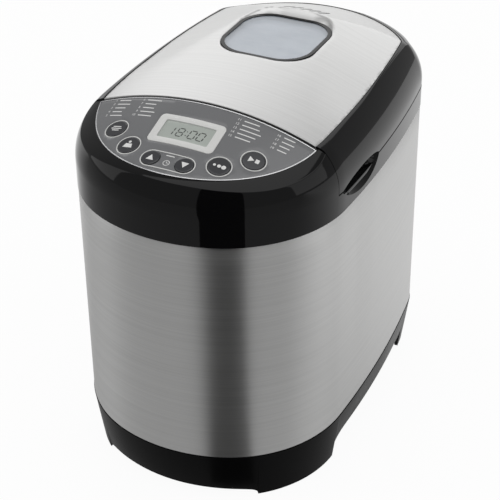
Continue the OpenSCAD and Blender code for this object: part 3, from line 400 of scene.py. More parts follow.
@dataclass(frozen=True)
class HeatTinted(Finish):
    """Coated sheet around the oven, browned towards the heating tube."""

    colour: Colour = (0.30, 0.30, 0.305)
    tint: Colour = (0.25, 0.20, 0.14)
    warm_z: float = 0.10

    def paint(self, shader: Shader) -> bpy.types.Material:
        """Mixes a straw tint into the metal where it gets hot."""
        spots = shader.noise((55.0, 55.0, 30.0), 4.0)
        axes = self.height(shader)
        near = 1.0 - ((axes - self.warm_z).maths("ABSOLUTE") + (spots - 0.5) * 0.03).step(0.01, 0.08)
        fine = shader.noise((900.0, 900.0, 900.0), 2.0)
        return shader.surface(
            Base_Color=shader.blend(near * 0.7, self.colour, self.tint),
            Metallic=0.85,
            Roughness=0.38 + (spots - 0.5) * 0.2 + (fine - 0.5) * 0.08,
            Normal=shader.bump(fine, 0.00003, 0.4),
        )

    @staticmethod
    def height(shader: Shader) -> Value:
        """The height of the place, in metres."""
        return shader.node("ShaderNodeSeparateXYZ", {}, {0: shader.place()}, "Z")


@dataclass(frozen=True)
class NonStick(Finish):
    """Speckled dark coating of the pan and the paddle."""

    colour: Colour = (0.045, 0.045, 0.048)

    def paint(self, shader: Shader) -> bpy.types.Material:
        """Scatters fine pale specks over the coating."""
        speck = 1.0 - shader.cells(700.0).step(0.08, 0.2)
        cloud = shader.noise((20.0, 20.0, 20.0), 3.0)
        return shader.surface(
            Base_Color=shader.blend(speck * 0.6, self.colour, (0.16, 0.16, 0.165)),
            Roughness=0.34 + (cloud - 0.5) * 0.12 + speck * 0.1,
            Normal=shader.bump(cloud * 0.3 + speck * 0.7, 0.00003, 0.4),
        )


@dataclass(frozen=True)
class Glass(Finish):
    """Toughened glass, partly see-through, whose pale blue-white colour is a painted reflection of the bright
    room.
    """

    # Painted reflection: this pale blue-white base colour stands in for the bright room seen in the glass.
    colour: Colour = (0.74, 0.80, 0.88)
    roughness: float = 0.02
    cover: float = 0.45

    def paint(self, shader: Shader) -> bpy.types.Material:
        """Lets part of the light straight through, with a little smear in the gloss."""
        smear = shader.noise((26.0, 60.0, 26.0), 4.0, 0.6)
        light = tuple(min(1.0, 1.08 * c) for c in self.colour)
        return shader.surface(
            Base_Color=shader.blend(smear, self.colour, light),
            Roughness=self.roughness + smear * 0.04,
            Alpha=self.cover + (smear - 0.5) * 0.15,
            Coat_Weight=1.0,
            IOR=1.5,
        )


@dataclass(frozen=True)
class Liquid(Finish):
    """The grey-green face of the display behind its window."""

    colour: Colour = (0.36, 0.39, 0.36)

    def paint(self, shader: Shader) -> bpy.types.Material:
        """Shades the face a little and covers it with a clear coat."""
        cloud = shader.noise((40.0, 60.0, 40.0), 2.0)
        pixel = shader.noise((2400.0, 2400.0, 2400.0), 1.0)
        light = tuple(1.3 * c for c in self.colour)
        return shader.surface(
            Base_Color=shader.blend(0.7 * cloud + 0.3 * pixel, self.colour, light),
            Roughness=0.35 + (pixel - 0.5) * 0.1,
            Coat_Weight=0.7,
            Coat_Roughness=0.05,
        )


@dataclass(frozen=True)
class Board(Finish):
    """A lacquered circuit board with its tracks showing through."""

    colour: Colour = (0.03, 0.11, 0.06)

    def paint(self, shader: Shader) -> bpy.types.Material:
        """Draws faint tracks in the lacquer."""
        wave = {"wave_type": "BANDS", "bands_direction": "DIAGONAL"}
        inputs = {"Vector": shader.place((1.0, 1.0, 1.0)), "Scale": 260.0, "Distortion": 6.0, "Detail": 0.0}
        track = shader.node("ShaderNodeTexWave", wave, inputs, "Fac").step(0.5, 0.56)
        return shader.surface(
            Base_Color=shader.blend(track * 0.6, self.colour, (0.08, 0.2, 0.09)),
            Roughness=0.32 + track * 0.08,
            Normal=shader.bump(track, 0.00003, 0.5),
        )


WRAP_STEEL = Brushed(
    "brushed_wrap", "brushed_steel", Grain.ROUND_THE_BODY, (0.60, 0.60, 0.595), 0.44, spread=0.9, turn=0.25)
LID_STEEL = Brushed("brushed_lid", "brushed_steel", Grain.ACROSS, (0.62, 0.62, 0.615), 0.33)
GLOSS_BLACK = Gloss("gloss_black", "gloss_black")
SATIN_BLACK = Moulded("satin_black", "satin_black")
RUBBER = Moulded("foot_rubber", "rubber", (0.02, 0.02, 0.02), 0.7, 900.0, 0.00006, 1.4)
BELT = Moulded("belt_rubber", "rubber", (0.018, 0.018, 0.018), 0.6, 600.0, 0.00008, 1.4)
PANEL_FILM = Film("panel_film", "panel_grey")
KEY_GLOSS = Gloss("key_gloss", "panel_grey", (0.045, 0.046, 0.05), 0.10, 1.45)
WHITE_PRINT = Print("white_print", "off_white")
DARK_PRINT = Print("dark_print", "display", (0.05, 0.055, 0.05))
OFF_WHITE = Moulded("off_white", "off_white", (0.66, 0.66, 0.645), 0.38, 1800.0, 0.00002, 1.45)
TRIM = Cast("trim_silver", "trim_silver", (0.80, 0.80, 0.81), 0.22, 900.0, 0.00001)
DISPLAY = Liquid("display_face", "display")
PLAIN_STEEL = Cast("plain_steel", "plain_steel", (0.62, 0.62, 0.63), 0.22, 700.0, 0.00002)
OVEN_STEEL = HeatTinted("oven_steel", "oven_steel")
ALUMINIUM = Cast("aluminium", "aluminium", (0.72, 0.725, 0.73), 0.36)
BOARD = Board("circuit_board", "circuit_board")
NON_STICK = NonStick("nonstick", "nonstick")
GLASS_PAINTED_REFLECTION = Glass("glass_painted_reflection", "glass")
SILICONE = Moulded("silicone", "silicone", (0.26, 0.05, 0.035), 0.5, 1200.0, 0.00003, 1.4)
BRONZE = Cast("bronze", "bronze", (0.42, 0.31, 0.16), 0.42, 1500.0, 0.00006)
HEATER = HeatTinted("heater_tube", "heater", (0.09, 0.085, 0.08), (0.13, 0.09, 0.06), 0.092)

SLOT_FINISH: dict[str, Finish] = {
    f.slot: f
    for f in (
        WRAP_STEEL, GLOSS_BLACK, SATIN_BLACK, RUBBER, PANEL_FILM, OFF_WHITE, TRIM, DISPLAY, PLAIN_STEEL,
        OVEN_STEEL, ALUMINIUM, BOARD, NON_STICK, GLASS_PAINTED_REFLECTION, SILICONE, BRONZE, HEATER,
    )
}


# ---------------------------------------------------------------- shapes of the body


@dataclass(frozen=True)
class Arc:
    """One arc of the plan, by the direction its outward normal turns through."""

    centre: np.ndarray
    radius: float
    start: float
    end: float


@dataclass
class Plan:
    """The body seen from above: five tangent arcs on the right, mirrored on the left.

    A place on the right half is named by its turn, the direction of the outward normal
    in radians, from -pi/2 at the front to pi/2 at the rear.
    """

    width: float
    length: float
    widest_y: float = -0.032
    side_r: float = 0.911
    front_r: float = 0.127
    front_corner_r: float = 0.100
    rear_r: float = 0.114
    rear_corner_r: float = 0.040
    arcs: list[Arc] = field(init=False)

    def __post_init__(self) -> None:
        """Works out the centres and the ends of the arcs."""
        side = np.array([self.width / 2 - self.side_r, self.widest_y])
        front = np.array([0.0, self.front_r - self.length / 2])
        rear = np.array([0.0, self.length / 2 - self.rear_r])
        front_corner = self._between(side, front, self.front_r, self.front_corner_r, -1)
        rear_corner = self._between(side, rear, self.rear_r, self.rear_corner_r, 1)
        ends = [
            -math.pi / 2,
            self._angle(front_corner - front),
            self._angle(front_corner - side),
            self._angle(rear_corner - side),
            self._angle(rear_corner - rear),
            math.pi / 2,
        ]
        centres = [front, front_corner, side, rear_corner, rear]
        radii = [self.front_r, self.front_corner_r, self.side_r, self.rear_corner_r, self.rear_r]
        self.arcs = [Arc(c, r, a, b) for c, r, a, b in zip(centres, radii, ends, ends[1:])]

    def _between(self, side: np.ndarray, end: np.ndarray, end_r: float, r: float, way: int) -> np.ndarray:
        """The centre of the arc that touches the side arc and an end arc from inside."""
        a, b, v = self.side_r - r, end_r - r, end - side
        d = float(np.linalg.norm(v))
        u = v / d
        t = (a * a - b * b + d * d) / (2 * d)
        h = math.sqrt(max(0.0, a * a - t * t))
        return side + u * t + way * h * np.array([-u[1], u[0]])

    @staticmethod
    def _angle(v: np.ndarray) -> float:
        """The direction of a vector."""
        return math.atan2(v[1], v[0])

    def turns(self, counts: Sequence[int] = (20, 40, 36, 24, 40)) -> np.ndarray:
        """Turns along the right half, so many for each arc."""
        parts = [np.linspace(a.start, a.end, n, endpoint=False) for a, n in zip(self.arcs, counts)]
        return np.concatenate([*parts, [math.pi / 2]])

    def at(self, turn: np.ndarray, inset: Union[float, np.ndarray]) -> np.ndarray:
        """Points of the outline moved in by an inset.

        Args:
            turn: Turns of the points.
            inset: One inset or one for each point.

        Returns:
            The points, one row each.
        """
        which = np.clip(np.searchsorted([a.start for a in self.arcs], turn, side="right") - 1, 0, 4)
        centre = np.array([a.centre for a in self.arcs])[which]
        reach = np.array([a.radius for a in self.arcs])[which] - inset
        return centre + reach[:, None] * np.stack([np.cos(turn), np.sin(turn)], 1)

    def turn_at(self, y: float, inset_of: Insets) -> float:
        """The turn at which the moved-in outline crosses a Y."""
        low, high = -math.pi / 2, math.pi / 2
        for _ in range(40):
            middle = np.array([(low + high) / 2])
            if self.at(middle, inset_of(middle))[0, 1] < y:
                low = float(middle[0])
            else:
                high = float(middle[0])
        return (low + high) / 2


@dataclass(frozen=True)
class Crown:
    """A bowed top sheet: part of a cylinder that slopes along Y."""

    y: float
    z: float
    tilt: float
    radius: float = 0.249

    def height(self, x: np.ndarray, y: np.ndarray) -> np.ndarray:
        """The height of the sheet above a place."""
        sag = np.sqrt(self.radius**2 - x**2) - self.radius
        return self.z + (y - self.y) * math.tan(self.tilt) + sag / math.cos(self.tilt)

    def lay(self, across: np.ndarray, along: np.ndarray, up: float = 0.0) -> np.ndarray:
        """Places points given across and along the slope, at a distance above the sheet."""
        sag = np.sqrt(self.radius**2 - across**2) - self.radius + up
        y = self.y + along * math.cos(self.tilt) - sag * math.sin(self.tilt)
        z = self.z + along * math.sin(self.tilt) + sag * math.cos(self.tilt)
        return np.stack([across, y, z], 1)

    def along(self, x: np.ndarray, y: np.ndarray) -> np.ndarray:
        """How far along the slope a place on the sheet lies."""
        sag = np.sqrt(self.radius**2 - x**2) - self.radius
        return (y - self.y + sag * math.sin(self.tilt)) / math.cos(self.tilt)

    def frame_at(self, across: float, along: float) -> Matrix:
        """The frame of a point of the sheet: its Z is the sheet's normal."""
        lean = math.asin(across / self.radius)
        spot = self.lay(np.array([across]), np.array([along]))[0]
        turned = Matrix.Rotation(self.tilt, 4, "X") @ Matrix.Rotation(lean, 4, "Y")
        return Matrix.Translation(spot) @ turned


def mirrored(points: np.ndarray) -> np.ndarray:
    """Points moved to the other side of X = 0."""
    return points * np.array([-1.0] + [1.0] * (points.shape[1] - 1))


def bend(a: np.ndarray, b: np.ndarray, c: np.ndarray, s: float) -> np.ndarray:
    """The place a share of the way along a curve from a to c, drawn towards b."""
    return (1 - s) ** 2 * a + 2 * s * (1 - s) * b + s * s * c


def softer(a: np.ndarray, b: np.ndarray, blend: float) -> np.ndarray:
    """The lower of two heights, with the crease between them rounded over a blend."""
    share = np.clip(0.5 + 0.5 * (b - a) / blend, 0.0, 1.0)
    return b * (1 - share) + a * share - blend * share * (1 - share)


@dataclass
class Form:
    """The surfaces that the outer pieces share."""

    plan: Plan
    panel: Crown
    split_y: float = -0.083
    split_gap: float = 0.0005
    lid_tilt: float = math.radians(2.9)
    flank_tilt: float = math.radians(20.8)
    flank_z: float = 0.3296
    rear_tilt: float = math.radians(20.2)
    brow_y: float = 0.0797
    shoulder_z: float = 0.262
    shoulder_depth: float = 0.058
    shoulder_height: float = 0.048
    crease: float = 0.0012
    fall_y: float = 0.020
    fall: float = 0.573

    def lid_height(self, x: np.ndarray, y: np.ndarray) -> np.ndarray:
        """The hipped top of the lid: crowned middle, two flanks that fall away behind, and a rear slope."""
        middle = Crown(self.split_y, self.panel.z, self.lid_tilt)
        brow_z = self.panel.z + (self.brow_y - self.split_y) * math.tan(self.lid_tilt)
        rear = Crown(self.brow_y, brow_z, -self.rear_tilt)
        flank = self.flank_z - np.abs(x) * math.tan(self.flank_tilt)
        flank = flank - self.fall * np.maximum(0.0, y - self.fall_y) ** 2
        top = softer(middle.height(x, y), rear.height(x, y), self.crease)
        return softer(top, flank, self.crease)

    def rim_turn(self, turn: np.ndarray, top: Heights) -> np.ndarray:
        """How far round the shoulder's ellipse it meets a top surface, in radians."""
        low, high = np.zeros_like(turn), np.full_like(turn, math.radians(85))
        for _ in range(40):
            middle = (low + high) / 2
            inset, z = self.shoulder(middle)
            place = self.plan.at(turn, inset)
            under = top(place[:, 0], place[:, 1]) > z
            low, high = np.where(under, middle, low), np.where(under, high, middle)
        return (low + high) / 2

    def shoulder(self, round_it: np.ndarray) -> tuple[np.ndarray, np.ndarray]:
        """Inset and height at angles round the shoulder's ellipse."""
        inset = self.shoulder_depth * (1 - np.cos(round_it))
        return inset, self.shoulder_z + self.shoulder_height * np.sin(round_it)


# ---------------------------------------------------------------- mesh making


class Stretch(Enum):
    """Which part of the outline a band covers."""

    ALL = "all round"
    FRONT = "ahead of the cut"
    REAR = "behind the cut"


@dataclass
class Profile:
    """One line of a band: its inset and height at each turn."""

    inset: Insets
    height: Heights

    @staticmethod
    def level(inset: Union[float, Insets], z: Union[float, Heights]) -> "Profile":
        """A line at one inset and one height.

        Args:
            inset: How far inside the plan, as a number or by the turn.
            z: The height, as a number or by the turn and the place.

        Returns:
            The line.
        """
        insets = inset if callable(inset) else lambda turn: np.full_like(turn, inset)
        heights = z if callable(z) else lambda turn, place: np.full_like(turn, z)
        return Profile(insets, heights)


@dataclass
class Skin:
    """Points and faces of one piece, gathered before it becomes an object."""

    points: list[tuple[float, float, float]] = field(default_factory=list)
    faces: list[tuple[int, ...]] = field(default_factory=list)

    def add(self, points: np.ndarray, faces: Iterable[tuple[int, ...]]) -> None:
        """Adds points, and faces that count from the first of them."""
        base = len(self.points)
        self.points.extend(map(tuple, points.tolist()))
        self.faces.extend(tuple(base + i for i in f) for f in faces)

    def join(self, other: "Skin") -> None:
        """Adds the points and faces of another skin."""
        self.add(np.array(other.points), other.faces)

    def grid(self, rows: list[np.ndarray], ring: bool, tube: bool) -> None:
        """Adds a band of quads between rows of points.

        Args:
            rows: The rows, each of the same number of points.
            ring: Whether each row closes on itself.
            tube: Whether the last row joins the first. Open ends are then closed flat.
        """
        count, across = len(rows), len(rows[0])
        faces = []
        for r in range(count if tube else count - 1):
            below, above = r * across, ((r + 1) % count) * across
            for i in range(across if ring else across - 1):
                j = (i + 1) % across
                faces.append((below + i, below + j, above + j, above + i))
        if tube and not ring:
            faces.append(tuple(r * across for r in range(count)))
            faces.append(tuple(r * across + across - 1 for r in reversed(range(count))))
        self.add(np.concatenate(rows), faces)

    def band(self, plan: Plan, profiles: Sequence[Profile], stretch: Stretch, cut_y: float = 0.0,
             turns: Optional[np.ndarray] = None) -> None:
        """Sweeps a closed profile along the outline.

        Args:
            plan: The outline.
            profiles: The lines of the section, in order round it.
            stretch: Which part of the outline it covers.
            cut_y: Where it ends, if it doesn't go all round.
            turns: Turns of the points, if not the usual ones.
        """
        base = plan.turns() if turns is None else turns
        rows = []
        for p in profiles:
            here = base
            if stretch is not Stretch.ALL:
                end = plan.turn_at(cut_y, p.inset)
                zero = plan.turn_at(cut_y, lambda turn: np.zeros_like(turn))
                if stretch is Stretch.FRONT:
                    kept = np.append(base[base < zero - 1e-4], zero)
                    here = kept[0] + (kept - kept[0]) * (end - kept[0]) / (zero - kept[0])
                else:
                    kept = np.append([zero], base[base > zero + 1e-4])
                    here = kept[-1] + (kept - kept[-1]) * (end - kept[-1]) / (zero - kept[-1])
            place = plan.at(here, p.inset(here))
            z = p.height(here, place)
            right = np.column_stack([place, z])
            left = mirrored(right)
            if stretch is Stretch.FRONT:
                rows.append(np.concatenate([left[::-1], right[1:]]))
            elif stretch is Stretch.REAR:
                rows.append(np.concatenate([right, left[-2::-1]]))
            else:
                rows.append(np.concatenate([right, left[-2:0:-1]]))
        self.grid(rows, stretch is Stretch.ALL, True)

    def lathe(self, section: Sequence[tuple[float, float]], around: int = 48,
              at: Matrix = Matrix.Identity(4)) -> None:
        """Turns a closed section of (radius, height) about an axis at a frame."""
        angles = np.linspace(0, 2 * math.pi, around, endpoint=False)
        rows = []
        for r, z in section:
            local = np.stack([r * np.cos(angles), r * np.sin(angles), np.full(around, z)], 1)
            rows.append(local @ np.array(at.to_3x3()).T + np.array(at.translation))
        self.grid(rows, True, True)

    def object(self, name: str) -> bpy.types.Object:
        """Makes the mesh, with its faces turned outward."""
        mesh = bpy.data.meshes.new(name)
        mesh.from_pydata(self.points, [], self.faces)
        made = bpy.data.objects.new(name, mesh)
        bpy.context.scene.collection.objects.link(made)
        shape = bmesh.new()
        shape.from_mesh(mesh)
        bmesh.ops.remove_doubles(shape, verts=shape.verts, dist=1e-7)
        bmesh.ops.recalc_face_normals(shape, faces=shape.faces)
        shape.to_mesh(mesh)
        shape.free()
        return made


def inside(points: np.ndarray, loop: np.ndarray) -> np.ndarray:
    """Which points lie inside a closed loop.

    Args:
        points: Points, one row each.
        loop: The loop's points in order.

    Returns:
        True for each point inside.
    """
    x, y = points[:, 0][:, None], points[:, 1][:, None]
    x0, y0 = loop[:, 0], loop[:, 1]
    x1, y1 = np.roll(x0, -1), np.roll(y0, -1)
    spans = (y0 > y) != (y1 > y)
    with np.errstate(divide="ignore", invalid="ignore"):
        crossing = x < (x1 - x0) * (y - y0) / (y1 - y0) + x0
    return (spans & crossing).sum(1) % 2 == 1


def distance_to(points: np.ndarray, loop: np.ndarray) -> np.ndarray:
    """The distance from each point to a closed loop's nearest edge."""
    start, end = loop, np.roll(loop, -1, 0)
    best = np.full(len(points), np.inf)
    for a, b in zip(start, end):
        way = b - a
        share = np.clip(((points - a) @ way) / max(way @ way, 1e-18), 0, 1)
        best = np.minimum(best, np.linalg.norm(points - a - share[:, None] * way, axis=1))
    return best


def moved_in(loop: np.ndarray, amount: float) -> np.ndarray:
    """A smooth loop moved towards its own inside, or outwards for a negative amount."""
    ahead, behind = np.roll(loop, -1, 0), np.roll(loop, 1, 0)
    area = 0.5 * np.sum(loop[:, 0] * ahead[:, 1] - ahead[:, 0] * loop[:, 1])
    along = ahead - behind
    along /= np.maximum(np.linalg.norm(along, axis=1), 1e-12)[:, None]
    normal = np.stack([-along[:, 1], along[:, 0]], 1) * (1 if area > 0 else -1)
    return loop + amount * normal


def rounded_loop(half_w: float, half_l: float, r: float, centre: Sequence[float] = (0.0, 0.0),
                 turn: float = 0.0, steps: int = 8) -> np.ndarray:
    """A rectangle with round corners, as a loop of points."""
    points = []
    corners = ((1, 1), (-1, 1), (-1, -1), (1, -1))
    for k, (sx, sy) in enumerate(corners):
        for i in range(steps + 1):
            a = math.pi / 2 * (k + i / steps)
            points.append((sx * (half_w - r) + r * math.cos(a), sy * (half_l - r) + r * math.sin(a)))
    flat = np.array(points)
    keep = np.linalg.norm(flat - np.roll(flat, 1, 0), axis=1) > 1e-7
    c, s = math.cos(turn), math.sin(turn)
    return flat[keep] @ np.array([[c, s], [-s, c]]) + np.array(centre)


def circle_loop(r: float, centre: Sequence[float] = (0.0, 0.0), steps: int = 64) -> np.ndarray:
    """A circle as a loop of points."""
    a = np.linspace(0, 2 * math.pi, steps, endpoint=False)
    return np.stack([np.cos(a), np.sin(a)], 1) * r + np.array(centre)


def closer(loop: np.ndarray, step: float) -> np.ndarray:
    """A loop with points added until none of its sides is longer than a step."""
    parts = []
    for a, b in zip(loop, np.roll(loop, -1, 0)):
        count = max(1, math.ceil(float(np.linalg.norm(b - a)) / step))
        parts.append(a + (b - a) * np.linspace(0, 1, count, endpoint=False)[:, None])
    return np.concatenate(parts)


@dataclass
class Sheet:
    """A flat shape laid on a surface, with thickness, holes and softened edges."""

    outer: np.ndarray
    holes: Sequence[np.ndarray] = ()
    edge: float = 0.0002
    pitch: float = 0.004

    def skin(self, lay: Lay, top: float, low: float) -> Skin:
        """Builds the sheet.

        Args:
            lay: Places flat points at a distance above the surface.
            top: Distance of the upper face.
            low: Distance of the lower face.

        Returns:
            The sheet's points and faces.
        """
        loops = [closer(loop, 0.7 * self.pitch) for loop in (self.outer, *self.holes)]
        ways = [1.0] + [-1.0] * len(self.holes)
        shrunk = [moved_in(l, w * self.edge) for l, w in zip(loops, ways)]
        flat = self._flat_points(shrunk)
        edges, base = [], 0
        for loop in shrunk:
            n = len(loop)
            edges += [(base + i, base + (i + 1) % n) for i in range(n)]
            base += n
        done = delaunay_2d_cdt([tuple(p) for p in flat], edges, [], 0, 1e-9)
        made, faces = np.array([tuple(v) for v in done[0]]), np.array(done[2])
        middles = made[faces].mean(1)
        kept = inside(middles, shrunk[0])
        for loop in shrunk[1:]:
            kept &= ~inside(middles, loop)
        faces = faces[kept]
        back = {i: k for k, group in enumerate(done[3]) for i in group}
        skin = Skin()
        skin.add(lay(made, top), [tuple(f) for f in faces])
        lower = len(skin.points)
        skin.add(lay(made, low), [tuple(f[::-1]) for f in faces])
        base = 0
        for loop, small in zip(loops, shrunk):
            ids = [back[base + i] for i in range(len(small))]
            base += len(small)
            middle = small + (loop - small) * 0.7
            rows = [
                np.array([skin.points[i] for i in ids]),
                lay(middle, top - 0.3 * self.edge),
                lay(loop, top - self.edge),
                lay(loop, low),
                np.array([skin.points[lower + i] for i in ids]),
            ]
            skin.grid(rows, True, False)
        return skin

    def _flat_points(self, loops: list[np.ndarray]) -> np.ndarray:
        """The loops' points and a regular field of points between them."""
        low, high = loops[0].min(0), loops[0].max(0)
        xs = np.arange(low[0] + self.pitch / 2, high[0], self.pitch)
        ys = np.arange(low[1] + self.pitch / 2, high[1], self.pitch)
        if len(xs) * len(ys) == 0:
            return np.concatenate(loops)
        field_points = np.array(np.meshgrid(xs, ys)).reshape(2, -1).T
        keep = inside(field_points, loops[0])
        for loop in loops[1:]:
            keep &= ~inside(field_points, loop)
        field_points = field_points[keep]
        for loop in loops:
            field_points = field_points[distance_to(field_points, loop) > 0.45 * self.pitch]
        return np.concatenate([*loops, field_points])


def over(height: Heights) -> Lay:
    """Lays a shape drawn in X and Y on a surface given by its height."""
    return lambda p, up: np.column_stack([p, height(p[:, 0], p[:, 1]) + up])


def upright(y: float, way: int = 1) -> Lay:
    """How a flat loop stands across Y, its height along Z and its layers one way along Y."""
    return lambda p, up: np.column_stack([p[:, 0], np.full(len(p), y) + way * up, p[:, 1]])


class Dresser:
    """Turns skins into finished pieces on the right body."""

    def __init__(self) -> None:
        """Starts with nothing made."""
        self.made: list[str] = []

    def piece(self, name: str, skin: Union[Skin, bpy.types.Object], body: str, finish: Finish,
              replaces: Sequence[str] = (), sharp: float = 32.0) -> bpy.types.Object:
        """Makes one piece of the object.

        Args:
            name: The piece's name.
            skin: Its points and faces, or an object already made.
            body: The CAD body that it rides on.
            finish: Its finish.
            replaces: CAD nodes that it stands for.
            sharp: Edges turning more than this many degrees stay sharp.

        Returns:
            The new object.
        """
        made = skin.object(name) if isinstance(skin, Skin) else skin
        made.data.materials.clear()
        made.data.materials.append(finish.material())
        made.data.shade_smooth()
        made.data.set_sharp_from_angle(angle=math.radians(sharp))
        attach(made, body)
        if replaces:
            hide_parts(*replaces)
        self.made.append(name)
        log.info("piece %s: %d faces, on %s, %s", name, len(made.data.polygons), body, finish.name)
        return made

    @staticmethod
    def carve(target: bpy.types.Object, tool: bpy.types.Object) -> None:
        """Cuts one mesh with another, and deletes the cutter."""
        modifier = target.modifiers.new("cut", "BOOLEAN")
        modifier.operation = "DIFFERENCE"
        modifier.solver = "EXACT"
        modifier.object = tool
        cut = bpy.data.meshes.new_from_object(target.evaluated_get(bpy.context.evaluated_depsgraph_get()))
        target.modifiers.clear()
        target.data = cut
        bpy.data.objects.remove(tool)


# ---------------------------------------------------------------- sub-assemblies


@dataclass
class Base:
    """The dark skirt with its arches and legs."""

    form: Form
    dress: Dresser
    height: float = 0.046
    lean: float = 0.006
    wall: float = 0.003
    lift: float = 0.001
    front_arch: tuple[float, float] = (0.068, 0.009)
    side_arch: tuple[float, float] = (0.082, 0.018)
    side_arch_y: float = 0.010
    foot: tuple[float, float] = (0.072, 0.112)
    foot_r: float = 0.009
    foot_depth: float = 0.003
    leg_r: float = 0.0125
    screw_r: float = 0.002
    plate_z: float = 0.023
    lower_round: float = 0.0006
    upper_round: float = 0.0008
    ends_turn: float = math.radians(50)
    sides_turn: float = math.radians(75)

    def inset(self, z: float) -> float:
        """How far the skirt leans in at a height."""
        return 0.0002 + self.lean * (1 - z / self.height)

    @staticmethod
    def arch(share: np.ndarray, height: float) -> np.ndarray:
        """The height of an arch at a share of its half width."""
        return height * np.maximum(0.0, 1 - np.minimum(np.abs(share), 1.0) ** 4) ** 0.25

    def edge(self, turn: np.ndarray, place: np.ndarray) -> np.ndarray:
        """The height of the skirt's lower edge."""
        x, y = place[:, 0], place[:, 1]
        ends = self.arch(x / self.front_arch[0], self.front_arch[1])
        sides = self.arch((y - self.side_arch_y) / self.side_arch[0], self.side_arch[1])
        ends = np.where(np.abs(turn) > self.ends_turn, ends, 0.0)
        sides = np.where(np.abs(turn) < self.sides_turn, sides, 0.0)
        return np.maximum(self.lift, np.maximum(ends, sides))

    def turns(self) -> np.ndarray:
        """Turns close together where the arches rise."""
        shares = np.cos(np.linspace(0, math.pi, 61))
        level = lambda turn: np.full_like(turn, self.inset(0.0))
        rise = [self.form.plan.turn_at(self.side_arch_y + s * self.side_arch[0], level) for s in shares]
        usual = self.form.plan.turns()
        fine = np.linspace(-math.pi / 2, math.pi / 2, 400)
        x = np.abs(self.form.plan.at(fine, self.inset(0.0))[:, 0])
        near = fine[np.abs(x - self.front_arch[0]) < 0.004]
        dense = np.concatenate([np.linspace(t - 0.004, t + 0.004, 4) for t in near])
        return np.unique(np.round(np.concatenate([usual, rise, dense]), 6))

    def build(self) -> None:
        """Builds the skirt with its inner ledge, legs and lip."""
        plan, skin = self.form.plan, Skin()
        top = self.inset(self.height)
        foot = self.inset(0.0)
        mid = self.inset(self.height / 2)
        shape = [
            Profile.level(foot + self.lower_round, self.edge),
            Profile.level(foot, lambda t, p: self.edge(t, p) + self.lower_round),
            Profile.level(mid, self.height / 2),
            Profile.level(top, self.height - self.upper_round),
            Profile.level(top + self.upper_round, self.height),
            Profile.level(top + self.wall, self.height),
            Profile.level(mid + self.wall, self.height / 2),
            Profile.level(foot + self.wall, self.edge),
        ]
        skin.band(plan, shape, Stretch.ALL, turns=self.turns())
        near = self.inset(self.plate_z) + self.wall
        ledge = self._box(near - 0.001, near + 0.007, self.plate_z - 0.003, self.plate_z)
        lip = self._box(0.0014, self.wall + 0.0015, self.height - 0.003, self.height + 0.005)
        for box in (ledge, lip):
            skin.band(plan, box, Stretch.ALL)
        for sx in (-1, 1):
            for sy in (-1, 1):
                at = Matrix.Translation((sx * self.foot[0], sy * self.foot[1], 0.0))
                seat = self.lift + self.foot_depth
                section = [
                    (self.foot_r, self.lift), (self.leg_r, self.lift), (self.leg_r, self.plate_z),
                    (self.screw_r, self.plate_z), (self.screw_r, seat), (self.foot_r, seat),
                ]
                skin.lathe(section, at=at)
        self.dress.piece("skirt_shell", skin, "body", SATIN_BLACK, ["base_skirt"])

    @staticmethod
    def _box(near: float, far: float, low: float, high: float) -> list[Profile]:
        """A plain rectangular section."""
        corners = ((near, low), (near, high), (far, high), (far, low))
        return [Profile.level(inset, z) for inset, z in corners]


